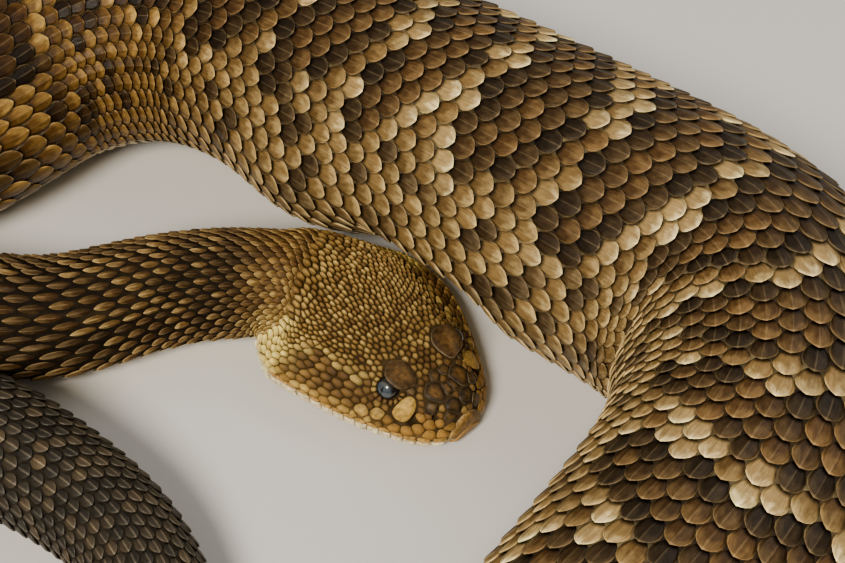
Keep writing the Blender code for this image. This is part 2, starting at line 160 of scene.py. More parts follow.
def make_spine():
    yaw = math.radians(HEAD_YAW)
    back = -np.array((math.cos(yaw), math.sin(yaw)))
    skull = np.array(SNOUT) + HEAD_STRAIGHT * back
    points = np.vstack([skull, BENDS])
    chord = np.concatenate([[0], np.cumsum(np.hypot(*np.diff(points, axis=0).T))])
    curve = spline(chord, points, start=back)
    fine = curve(np.linspace(0, chord[-1], 6000))
    along = HEAD_STRAIGHT + np.concatenate([[0], np.cumsum(np.hypot(*np.diff(fine, axis=0).T))])

    def at(s):
        s = np.asarray(s, float)
        bent = np.stack([np.interp(s, along, fine[:, k]) for k in (0, 1)], -1)
        straight = np.array(SNOUT) + s[..., None] * back
        return np.where((s < HEAD_STRAIGHT)[..., None], straight, bent)

    return at, along[-1]


SPINE, SPINE_LENGTH = make_spine()
RATTLE_AT = SPINE_LENGTH - RATTLE_LENGTH
HALF_WIDTH = table(GIRTH)
HEAD_W, CROWN_W, CROWN_Z, MOUTH_Z, CHIN_Z = (
    table(t) for t in (HEAD_WIDTH, CROWN_WIDTH, CROWN_HEIGHT, MOUTH_HEIGHT, CHIN_HEIGHT)
)
BACK = -np.array((math.cos(math.radians(HEAD_YAW)), math.sin(math.radians(HEAD_YAW))))
SIDE = np.array((-math.sin(math.radians(HEAD_YAW)), math.cos(math.radians(HEAD_YAW))))


def spine_frame(s):
    step = 1.5
    here, ahead, behind = SPINE(s), SPINE(s + step), SPINE(np.maximum(s - step, 0))
    tail = ahead - behind
    tail /= np.linalg.norm(tail, axis=-1, keepdims=True)
    left = np.stack([tail[..., 1], -tail[..., 0]], -1)
    near = np.minimum(np.maximum(s, 8.0), SPINE_LENGTH - 8.0)
    turn = (SPINE(near + 7) - 2 * SPINE(near) + SPINE(near - 7)) / 49.0
    return here, tail, left, (turn * left).sum(-1)


def body_section(s, angle):
    a = HALF_WIDTH(s)
    thick = ramp(a, 17.0, 31.0)
    height = 2 * a * (ROUNDNESS + (FLATNESS - ROUNDNESS) * thick)
    middle = 0.485 * height
    up = np.where(
        np.cos(angle) > 0,
        middle + (height - middle) * np.cos(angle),
        middle * (1 + 1.10 * np.cos(angle)),
    )
    up = up + 0.018 * height * np.exp(-((angle / 0.35) ** 2))
    dent = DENT_DEPTH * np.exp(-(((s - DENT_AT) / DENT_REACH) ** 4))
    dent = dent * (1 - ramp(up, 0.24 * height, 0.50 * height)) * ramp(np.sin(angle), 0.15, 0.6)
    sag = SAG_DEPTH * np.exp(-(((s - SAG_AT) / SAG_REACH) ** 2))
    sag = sag * (1 - ramp(up, 0.35 * height, 0.80 * height)) * ramp(np.sin(angle), 0.15, 0.6)
    return a * np.sin(angle) - dent + sag, np.maximum(up, 0.0)


def head_section(s, angle):
    w, c, top, mouth, chin = HEAD_W(s), CROWN_W(s), CROWN_Z(s), MOUTH_Z(s), CHIN_Z(s)
    cheek = mouth + 0.22 * (top - mouth)
    turn = np.abs(angle) / math.pi
    stops = np.array((0.0, 0.13, 0.26, 0.36, 0.50, 0.60, 0.68, 0.80, 0.90, 1.0))
    outs = (0 * w, 0.52 * c, 0.97 * c, 0.45 * c + 0.53 * w, w, 0.99 * w, 0.94 * w, 0.73 * w, 0.37 * w, 0 * w)
    ups = (
        top, top - 0.015 * top, top - 0.085 * top, 0.45 * top + 0.55 * cheek, cheek, mouth,
        0.45 * mouth + 0.55 * chin, 0.12 * mouth + 0.88 * chin, chin, chin,
    )
    out = np.zeros(np.broadcast(w, turn).shape)
    turn = np.broadcast_to(turn, out.shape)
    k = np.clip(np.searchsorted(stops, turn, side="right") - 1, 0, len(stops) - 2)
    t = (turn - stops[k]) / (stops[k + 1] - stops[k])
    outs, ups = (np.stack([np.broadcast_to(v, out.shape) for v in vs]) for vs in (outs, ups))

    def pick(values, i):
        return np.take_along_axis(values, np.clip(i, 0, len(stops) - 1)[None], 0)[0]

    def smooth(values, odd):
        before, here, there, after = (pick(values, k + d) for d in (-1, 0, 1, 2))
        before = np.where(k == 0, -there if odd else there, before)
        after = np.where(k == len(stops) - 2, -here if odd else here, after)
        h = stops[np.minimum(k + 1, len(stops) - 1)] - stops[k]
        h0 = np.where(k == 0, h, h * 0 + stops[k] - stops[np.maximum(k - 1, 0)])
        h1 = np.where(k >= len(stops) - 2, h, stops[np.minimum(k + 2, len(stops) - 1)] - stops[np.minimum(k + 1, len(stops) - 1)])
        m0 = (there - before) / (h + h0) * h
        m1 = (after - here) / (h + h1) * h
        return (
            (1 + 2 * t) * (1 - t) ** 2 * here
            + t * (1 - t) ** 2 * m0
            + t * t * (3 - 2 * t) * there
            + t * t * (t - 1) * m1
        )

    return np.sign(angle) * smooth(outs, True), np.maximum(smooth(ups, False), 0.0)


def surface(s, angle):
    """The outline of the animal, mm: s along the spine, angle round it.  Below s = 0 it closes over the tip of the snout."""
    s, angle = np.broadcast_arrays(np.asarray(s, float), np.asarray(angle, float))
    shape = s.shape
    s, angle = s.ravel(), angle.ravel()
    angle = (angle + math.pi) % (2 * math.pi) - math.pi
    tip = np.clip(-s / 4.0, 0, 1)
    s = np.maximum(s, 0.0)
    out, up = np.empty(len(s)), np.empty(len(s))
    mix = ramp(s, 46.0, 66.0)
    at_head, at_body = mix < 1, mix > 0
    out[:], up[:] = 0, 0
    if at_head.any():
        h = head_section(np.minimum(s[at_head], 66.0), angle[at_head])
        out[at_head] += h[0] * (1 - mix[at_head])
        up[at_head] += h[1] * (1 - mix[at_head])
    if at_body.any():
        b = body_section(np.maximum(s[at_body], 57.0), angle[at_body])
        out[at_body] += b[0] * mix[at_body]
        up[at_body] += b[1] * mix[at_body]
    here, tail, left, bend = spine_frame(s)
    inward = out * bend
    room = np.where(inward > 0.55, 0.55 + 0.41 * np.tanh((inward - 0.55) / 0.41), inward)
    out = np.where(inward > 0.55, out * room / np.maximum(inward, 1e-9), out)
    front = np.cos(tip * math.pi / 2)
    out = out * front
    up = np.where(tip > 0, 6.6 + (up - 6.6) * front, up)
    plan = here + left * out[:, None] - BACK * (0.8 * np.sin(tip * math.pi / 2))[:, None]
    corner = np.array(SNOUT) + JAW_ANGLE_AT[0] * BACK + JAW_ANGLE_AT[1] * SIDE
    far = ((plan - corner) ** 2).sum(-1) / 8.5**2 + (np.maximum(up - 9.0, 0.0) / 7.0) ** 2
    push = np.where(s < 90.0, np.exp(-far), 0.0)[:, None]
    plan = plan + push * (JAW_ANGLE_OUT[0] * BACK + JAW_ANGLE_OUT[1] * SIDE) - np.array(COIL_CENTRE)
    return np.concatenate([plan, up[:, None]], -1).reshape(shape + (3,))


def outward(s, angle):
    """The unit normal of that outline, and how many mm one radian is there."""
    ds, da = 0.35, 0.012
    along = surface(s + ds, angle) - surface(s - ds, angle)
    round_ = surface(s, angle + da) - surface(s, angle - da)
    normal = np.cross(round_, along)
    size = np.linalg.norm(normal, axis=-1, keepdims=True)
    return normal / np.maximum(size, 1e-9), np.linalg.norm(round_, axis=-1) / (2 * da)


def place(s, angle, height):
    """World points that stand this far out of the outline."""
    normal, _ = outward(s, angle)
    points = surface(s, angle) + normal * np.asarray(height)[..., None]
    points[..., 2] = np.maximum(points[..., 2], 0.03)
    return points


def head_place(back, out, up, side):
    here, tail, left, _ = spine_frame(np.array([back]))
    plan = here[0] + left[0] * out * side - np.array(COIL_CENTRE)
    return np.array((*plan, up))


COAT = table(((-4.0, 0.35), (2.0, 0.4), (50.0, 0.55), (75.0, 0.8), (150.0, 0.95), (300.0, 1.0), (1200.0, 0.9), (1350.0, 0.75), (1455.0, 0.5)))

# ------------------------------------------------------------------- markings
CREAM = np.array((0.88, 0.70, 0.35))
TAN = np.array((0.33, 0.222, 0.080))
SAND = np.array((0.58, 0.43, 0.185))
BROWN = np.array((0.078, 0.047, 0.018))
DARK = np.array((0.032, 0.021, 0.010))
GREY = np.array((0.100, 0.069, 0.034))
RUST = np.array((0.145, 0.082, 0.027))
TAIL = np.array((0.0175, 0.015, 0.0105))
OLIVE = np.array((0.275, 0.158, 0.040))
UMBER = np.array((0.072, 0.036, 0.010))
OCHRE = np.array((0.40, 0.215, 0.045))
YELLOW = np.array((0.58, 0.41, 0.115))
PALE = np.array((0.74, 0.60, 0.27))
WHITE = np.array((0.84, 0.72, 0.46))
BELLY = np.array((0.62, 0.50, 0.29))

# Where the pale crossbars meet the backbone, mm along it, and how far apart the rest are.
BARS = np.array((614.0, 641.5, 675.0, 707.0, 735.0, 764.0, 791.0, 820.0))
BAR_PITCH = 29.6


def lerp(a, b, t):
    t = np.asarray(t)[..., None]
    return a * (1 - t) + b * t


def chance(*keys):
    """A repeatable number from 0 to 1 for each scale."""
    mixed = np.zeros(np.broadcast(*keys).shape)
    for i, key in enumerate(keys):
        mixed = mixed + np.asarray(key, float) * (12.9898 + 65.2331 * i)
    value = np.sin(mixed) * 43758.5453
    return value - np.floor(value)


def body_colour(s, angle, row, number):
    """Diamonds with dark edges, parted and outlined by pale scales; sandy flanks with small grey bars."""
    deg = np.degrees(np.abs(angle))
    side = np.sign(angle + 1e-9)
    lot = chance(row, number)
    lot2 = chance(number, row + 7)
    back = s + 10.0 * (deg / 45.0) ** 1.3
    bars = np.interp(back, BARS, np.arange(len(BARS)))
    bars = bars + np.minimum(back - BARS[0], 0) / BAR_PITCH + np.maximum(back - BARS[-1], 0) / BAR_PITCH
    blotch = np.floor(bars)
    off = np.abs(bars - blotch - 0.5) * BAR_PITCH
    lowest = 50.0 + 12.0 * chance(blotch, side * 3.0)
    wide = BAR_PITCH / 2 - 3.5
    edge = (off / wide + (deg / lowest) ** 3.4 - 1) * wide + 1.2 * (lot - 0.5)
    flank = ramp(deg, 34.0, 60.0)
    between = lerp(lerp(RUST, TAN, 0.55 * lot2), lerp(TAN, SAND, 0.25 + 0.55 * lot), flank)
    core = lerp(BROWN * 1.1, RUST * 1.25, 0.85 * lot2**1.6)
    colour = between
    pale = lerp(CREAM, SAND, 0.8 * ramp(lot2, 0.45, 0.95))
    pale = lerp(pale, lerp(TAN, SAND, 0.5), ramp(lot2, 0.55, 0.8) * (1 - ramp(deg, 40.0, 55.0)) * 0.8)
    colour = np.where((edge < 2.9)[..., None], pale, colour)
    colour = np.where((edge < -0.2)[..., None], lerp(DARK, BROWN, 0.7 * lot**2), colour)
    colour = np.where((edge < -4.6)[..., None], core, colour)
    # small bars on the flank, under the pale crossbars and under the diamonds' points
    from_bar = np.abs(bars - np.round(bars)) * BAR_PITCH
    spot = ((from_bar < 3.8) & (deg > 59) & (deg < 74)) | ((off < 3.8) & (deg > 74) & (deg < 100))
    spot = spot & (lot < 0.85)
    colour = np.where(spot[..., None], lerp(GREY, BROWN, 0.6 * lot2), colour)
    stray = (deg > 46) & (edge > 2.9) & (lot2 > 0.80)
    colour = np.where(stray[..., None], lerp(GREY * 1.2, TAN, lot * 0.8), colour)
    low = ramp(deg, 84.0, 112.0)
    colour = lerp(colour, lerp(SAND, BELLY, 0.4), low * 0.6)
    # the front half of the animal is darker: mostly painted shade over it, partly its own duller colour
    dull = (1 - ramp(s, 520.0, 630.0))[..., None]
    colour = colour * (1 - dull * np.array((0.56, 0.66, 0.82)))
    return colour * (0.82 + 0.36 * lot[..., None])


def neck_colour(s, angle, row, number):
    deg = np.degrees(np.abs(angle))
    lot, lot2 = chance(row, number), chance(number + 3, row)
    colour = lerp(RUST * 0.72, TAN * 0.80, lot**1.8)
    dim = 0.5 + 0.5 * np.sin(s / 9.0 + 0.9 * np.sin(angle * 3))
    colour = lerp(colour, BROWN * 0.75, 0.8 * ((0.6 * dim + 0.7 * lot2) > 0.66))
    low = ramp(deg, 80.0, 112.0)
    return lerp(colour, lerp(TAN, RUST, 0.5), low * 0.6) * (0.85 + 0.3 * lot[..., None])


def tail_colour(s, angle, row, number):
    deg = np.degrees(np.abs(angle))
    lot, lot2 = chance(row, number), chance(number + 2, row)
    colour = lerp(TAIL, GREY * 0.8, 0.38 * lot**2)
    colour = np.where((lot2 > 0.96)[..., None], lerp(colour, GREY, 0.5), colour)
    return lerp(colour, GREY * 0.8, ramp(deg, 90.0, 115.0) * 0.5) * (0.75 + 0.5 * lot[..., None])


def nape_colour(s, angle, row, number):
    deg = np.degrees(np.abs(angle))
    lot, lot2 = chance(row, number), chance(number + 5, row)
    colour = lerp(OLIVE * 0.85, lerp(TAN, YELLOW, 0.35) * 0.85, lot**1.8)
    colour = lerp(colour, UMBER * 1.4, 0.75 * (lot2 > 0.62))
    low = ramp(deg + 6 * (lot - 0.5), 56.0, 74.0) * (1 - ramp(s, 60.0, 74.0))
    return lerp(colour, lerp(YELLOW, PALE, lot), low) * (0.85 + 0.3 * lot[..., None])


def markings(s, angle, row, number):
    s = np.asarray(s, float)
    colour = nape_colour(s, angle, row, number)
    colour = lerp(colour, neck_colour(s, angle, row, number), ramp(s + 6 * chance(number, row), 64.0, 80.0))
    colour = lerp(colour, body_colour(s, angle, row, number), ramp(s, 190.0, 270.0))
    return lerp(colour, tail_colour(s, angle, row, number), ramp(s + 14 * chance(row, number), 1215.0, 1290.0))


# ------------------------------------------------------------------ materials
def wire(tree, kind, **inputs):
    made = tree.nodes.new(kind)
    for name, value in inputs.items():
        socket = made.inputs[name.replace("_", " ")]
        if hasattr(value, "links") or isinstance(value, bpy.types.NodeSocket):
            tree.links.new(value, socket)
        else:
            socket.default_value = value
    return made


def surface_material(name, rough, rough_spread, grain, grain_height, mottle, specular=0.3, coat=0.0, streak=0.0, base=0.0, rim=0.0, keel_line=0.0, tuck_shadow=None, pale_edge=0.0, patch=520.0):
    """Colour from the scale's own tint, broken up by fine mottling, with a fine raised grain.

    "lie" holds each scale's own coordinates: -1 to 1 from front to tip, -1 to
    1 across, and a number of its own.  Streaks run from the front towards the
    tip, the front is darker, and the free edge is paler, partly its own paler
    edge and partly a painted highlight."""
    made = bpy.data.materials.new(name)
    made.use_nodes = True
    tree = made.node_tree
    shader = tree.nodes["Principled BSDF"]
    tint = tree.nodes.new("ShaderNodeAttribute")
    tint.attribute_name = "tint"
    where = tree.nodes.new("ShaderNodeTexCoord").outputs["Object"]
    cloud = wire(tree, "ShaderNodeTexNoise", Vector=where, Scale=patch, Detail=4.0, Roughness=0.62)
    fine = wire(tree, "ShaderNodeTexNoise", Vector=where, Scale=grain, Detail=3.0, Roughness=0.55)
    light = wire(tree, "ShaderNodeMapRange", Value=cloud.outputs["Fac"], From_Min=0.3, From_Max=0.7, To_Min=1 - mottle, To_Max=1 + mottle).outputs["Result"]
    raised = fine.outputs["Fac"]

    def maths(operation, a, b):
        node = tree.nodes.new("ShaderNodeMath")
        node.operation = operation
        for socket, value in zip(node.inputs, (a, b)):
            if isinstance(value, bpy.types.NodeSocket):
                tree.links.new(value, socket)
            else:
                socket.default_value = value
        return node.outputs[0]

    if streak or base or rim or keel_line:
        lie = tree.nodes.new("ShaderNodeAttribute")
        lie.attribute_name = "lie"
        parts = wire(tree, "ShaderNodeSeparateXYZ", Vector=lie.outputs["Vector"])
        along, across, own = (parts.outputs[k] for k in "XYZ")
        number = maths("MULTIPLY", own, 61.0)
        spread = wire(tree, "ShaderNodeCombineXYZ", X=maths("MULTIPLY", along, 1.3), Y=maths("MULTIPLY", across, 6.5), Z=number)
        lines = wire(tree, "ShaderNodeTexNoise", Vector=spread.outputs["Vector"], Scale=1.0, Detail=3.0, Roughness=0.6)
        patch = wire(tree, "ShaderNodeCombineXYZ", X=maths("MULTIPLY", along, 1.3), Y=maths("MULTIPLY", across, 1.5), Z=maths("ADD", number, 7.0))
        patches = wire(tree, "ShaderNodeTexNoise", Vector=patch.outputs["Vector"], Scale=1.0, Detail=2.0, Roughness=0.5)
        streaks = wire(tree, "ShaderNodeMapRange", Value=lines.outputs["Fac"], From_Min=0.32, From_Max=0.68, To_Min=1 - streak, To_Max=1 + streak)
        light = maths("MULTIPLY", light, streaks.outputs["Result"])
        # the dark front reaches further along some streaks than others
        reach = maths("ADD", along, maths("MULTIPLY", maths("SUBTRACT", patches.outputs["Fac"], 0.5), 2.2))
        if base > 0.5:  # on pale scales it reaches almost to the tip
            green = wire(tree, "ShaderNodeSeparateColor", Color=tint.outputs["Color"]).outputs["Green"]
            pale = wire(tree, "ShaderNodeMapRange", Value=green, From_Min=0.16, From_Max=0.50, To_Min=0.0, To_Max=0.38)
            reach = maths("SUBTRACT", reach, pale.outputs["Result"])
        front = wire(tree, "ShaderNodeMapRange", Value=reach, From_Min=-0.15, From_Max=0.90, To_Min=base, To_Max=0.0)
        front.interpolation_type = "SMOOTHSTEP"
        # along the keel a thin line: darker where keel_line is above 0, a painted glint where it is below 0
        sideways = maths("ABSOLUTE", across, 0.0)
        ridge = wire(tree, "ShaderNodeMapRange", Value=sideways, From_Min=0.02, From_Max=0.09, To_Min=1 - keel_line, To_Max=1.0)
        ridge_reach = wire(tree, "ShaderNodeMapRange", Value=along, From_Min=-0.3, From_Max=0.1, To_Min=1.0, To_Max=0.0)
        light = maths("MULTIPLY", light, maths("MAXIMUM", ridge.outputs["Result"], ridge_reach.outputs["Result"]))
        ridge_line = maths("SUBTRACT", 1.0, maths("MAXIMUM", wire(tree, "ShaderNodeMapRange", Value=sideways, From_Min=0.015, From_Max=0.07).outputs["Result"], ridge_reach.outputs["Result"]))
        # the free edge made brighter: partly its own paler edge, partly painted highlight
        edge = maths("MAXIMUM", sideways, wire(tree, "ShaderNodeMapRange", Value=along, From_Min=0.4, From_Max=1.0, To_Min=0.45, To_Max=1.0).outputs["Result"])
        free = wire(tree, "ShaderNodeMapRange", Value=edge, From_Min=0.86, From_Max=0.95, To_Min=0.0, To_Max=1.0)
        light = maths("MULTIPLY", light, maths("ADD", maths("MULTIPLY", free.outputs["Result"], rim), 1.0))
        raised = maths("ADD", raised, maths("MULTIPLY", lines.outputs["Fac"], 0.9))
    # painted shadow: darker along the outlines of the scales ahead and beside, whose free edges overlap this one
    if tuck_shadow:
        along_own, along_side, aside, soft = tuck_shadow
        over = tree.nodes.new("ShaderNodeAttribute")
        over.attribute_name = "over"

        def distance(x, y):
            x, y = maths("POWER", maths("MAXIMUM", x, 0.0), 2.4), maths("POWER", maths("ABSOLUTE", y, 0.0), 2.4)
            return maths("POWER", maths("ADD", x, y), 1 / 2.4)

        flat = maths("ABSOLUTE", over.outputs["Fac"], 0.0)
        ahead = distance(maths("ADD", along, along_own), flat)
        beside = distance(maths("ADD", along, along_side), maths("SUBTRACT", aside, flat))
        shade = wire(tree, "ShaderNodeMapRange", Value=maths("MINIMUM", ahead, beside), From_Min=0.98, From_Max=0.98 + soft, To_Min=0.12, To_Max=1.0)
        light = maths("MULTIPLY", light, shade.outputs["Result"])
    colour = tint.outputs["Color"]
    if base:
        warm = tree.nodes.new("ShaderNodeVectorMath")
        warm.operation = "MULTIPLY"
        tree.links.new(colour, warm.inputs[0])
        warm.inputs[1].default_value = (0.34, 0.275, 0.20)
        toward = tree.nodes.new("ShaderNodeMix")
        toward.data_type = "RGBA"
        tree.links.new(front.outputs["Result"], toward.inputs[0])
        tree.links.new(colour, toward.inputs[6])
        tree.links.new(warm.outputs["Vector"], toward.inputs[7])
        colour = toward.outputs[2]
    mixed = tree.nodes.new("ShaderNodeVectorMath")
    mixed.operation = "SCALE"
    tree.links.new(colour, mixed.inputs[0])
    tree.links.new(light, mixed.inputs["Scale"])
    painted = mixed.outputs["Vector"]
    # a pale line added along the free edge (partly its own colour, partly painted highlight) and a painted glint along
    # the keel
    if pale_edge:
        line = tree.nodes.new("ShaderNodeVectorMath")
        line.operation = "SCALE"
        line.inputs[0].default_value = (0.125, 0.090, 0.045)
        glint = maths("MULTIPLY", ridge_line, 0.55)
        tree.links.new(maths("MULTIPLY", maths("ADD", free.outputs["Result"], glint), maths("MULTIPLY", lines.outputs["Fac"], pale_edge)), line.inputs["Scale"])
        added = tree.nodes.new("ShaderNodeVectorMath")
        added.operation = "ADD"
        tree.links.new(painted, added.inputs[0])
        tree.links.new(line.outputs["Vector"], added.inputs[1])
        painted = added.outputs["Vector"]
    tree.links.new(painted, shader.inputs["Base Color"])
    dull = wire(tree, "ShaderNodeMapRange", Value=fine.outputs["Fac"], From_Min=0.25, From_Max=0.75, To_Min=rough - rough_spread, To_Max=rough + rough_spread)
    tree.links.new(dull.outputs["Result"], shader.inputs["Roughness"])
    bump = wire(tree, "ShaderNodeBump", Height=raised, Strength=0.7, Distance=grain_height * MM)
    tree.links.new(bump.outputs["Normal"], shader.inputs["Normal"])
    shader.inputs["Specular IOR Level"].default_value = specular
    shader.inputs["Coat Weight"].default_value = coat
    shader.inputs["Coat Roughness"].default_value = 0.2
    shader.inputs["Metallic"].default_value = 0.0
    return made


SKIN = surface_material("snake_skin", 0.75, 0.1, 1500.0, 0.12, 0.35, specular=0.04)
SCALE_BODY = surface_material("body_scale_finish", 0.46, 0.12, 2400.0, 0.10, 0.16, specular=0.16, streak=0.24, base=0.95, rim=0.45, keel_line=0.25, pale_edge=1.2,
                              tuck_shadow=(1 / 0.75, 0.5 / 0.75, 1 / 0.57, 0.22))
SCALE_NECK = surface_material("neck_scale_finish", 0.50, 0.12, 2400.0, 0.08, 0.18, specular=0.10, streak=0.26, base=1.0, rim=0.40, keel_line=-0.20, pale_edge=0.8,
                              tuck_shadow=(1 / 0.60, 0.5 / 0.60, 1 / 0.38, 0.34))
SCALE_TAIL = surface_material("tail_scale_finish", 0.44, 0.12, 2400.0, 0.08, 0.20, specular=0.30, streak=0.22, base=0.30, rim=0.25, keel_line=-0.9,
                              tuck_shadow=(1 / 0.70, 0.5 / 0.70, 1 / 0.535, 0.18))
SCALE_HEAD = surface_material("head_scale_finish", 0.55, 0.10, 3200.0, 0.05, 0.25, specular=0.11, streak=0.12, base=0.35, rim=0.10, keel_line=-0.10)
SHIELD = surface_material("head_shield_finish", 0.50, 0.12, 1700.0, 0.10, 0.62, specular=0.18, patch=850.0)
SCUTE = surface_material("belly_scute_finish", 0.40, 0.06, 1500.0, 0.03, 0.12)
HORN = surface_material("rattle_finish", 0.42, 0.10, 900.0, 0.12, 0.25)
EYE = surface_material("eye_finish", 0.06, 0.02, 1500.0, 0.0, 0.10, specular=0.5, coat=0.5)


# -------------------------------------------------------------- making meshes
def make_piece(name, points, loops, starts, tint, uv, material, lie=None, over=None):
    """One mesh from flat arrays: vertices in mm, loop vertex numbers, where each face starts, a colour per vertex, and a map place per vertex or per loop."""
    mesh = bpy.data.meshes.new(name)
    mesh.vertices.add(len(points))
    mesh.vertices.foreach_set("co", (np.asarray(points, np.float32) * MM).ravel())
    mesh.loops.add(len(loops))
    mesh.loops.foreach_set("vertex_index", np.asarray(loops, np.int32))
    mesh.polygons.add(len(starts))
    mesh.polygons.foreach_set("loop_start", np.asarray(starts, np.int32))
    mesh.update(calc_edges=True)
    mesh.shade_smooth()
    colour = mesh.color_attributes.new("tint", "FLOAT_COLOR", "POINT")
    rgba = np.ones((len(points), 4), np.float32)
    rgba[:, :3] = np.clip(tint, 0, 1)
    colour.data.foreach_set("color", rgba.ravel())
    if lie is not None:
        own = mesh.attributes.new("lie", "FLOAT_VECTOR", "POINT")
        own.data.foreach_set("vector", np.asarray(lie, np.float32).ravel())
    if over is not None:
        own = mesh.attributes.new("over", "FLOAT", "POINT")
        own.data.foreach_set("value", np.asarray(over, np.float32).ravel())
    if uv is not None:
        layer = mesh.uv_layers.new(name="OFBake")
        uv = np.asarray(uv, np.float32)
        layer.data.foreach_set("uv", (uv if len(uv) == len(loops) else uv[np.asarray(loops)]).ravel())
    mesh.materials.append(material)
    made = bpy.data.objects.new(name, mesh)
    bpy.context.scene.collection.objects.link(made)
    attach(made, "root")
    return made


ROWS_ON, COLUMNS = 8, 7


def scale_faces():
    """The faces of one scale: an 8 x 7 top, a rim and a flat underside, whose 26 points come after the top's 56."""
    faces = []
    for r in range(ROWS_ON - 1):
        for c in range(COLUMNS - 1):
            a = r * COLUMNS + c
            faces.append((a, a + 1, a + COLUMNS + 1, a + COLUMNS))
    ring = list(range(COLUMNS)) + [r * COLUMNS + COLUMNS - 1 for r in range(1, ROWS_ON)]
    ring += [COLUMNS * (ROWS_ON - 1) + c for c in range(COLUMNS - 2, -1, -1)] + [r * COLUMNS for r in range(ROWS_ON - 2, 0, -1)]
    low = ROWS_ON * COLUMNS
    for m in range(len(ring)):
        n = (m + 1) % len(ring)
        faces.append((ring[n], ring[m], low + m, low + n))

    def right(r):
        return low + COLUMNS - 1 + r

    def left(r):
        return low + len(ring) - r

    faces.append(tuple([low + m for m in range(COLUMNS)] + [right(1), left(1)])[::-1])
    for r in range(1, ROWS_ON - 2):
        faces.append((left(r), left(r + 1), right(r + 1), right(r)))
    corner = COLUMNS - 1 + ROWS_ON - 1
    last = [right(ROWS_ON - 2)] + [low + m for m in range(corner, corner + COLUMNS)] + [left(ROWS_ON - 2)]
    faces.append(tuple(last)[::-1])
    return faces, np.array(ring)


SCALE_FACES, SCALE_RING = scale_faces()
SCALE_LOOPS = np.concatenate([np.array(f) for f in SCALE_FACES])
SCALE_STARTS = np.concatenate([[0], np.cumsum([len(f) for f in SCALE_FACES])[:-1]])
SCALE_TRIANGLES = sum(len(f) - 2 for f in SCALE_FACES)
U = np.array((-1.0, -0.45, 0.02, 0.36, 0.63, 0.83, 0.95, 1.0))


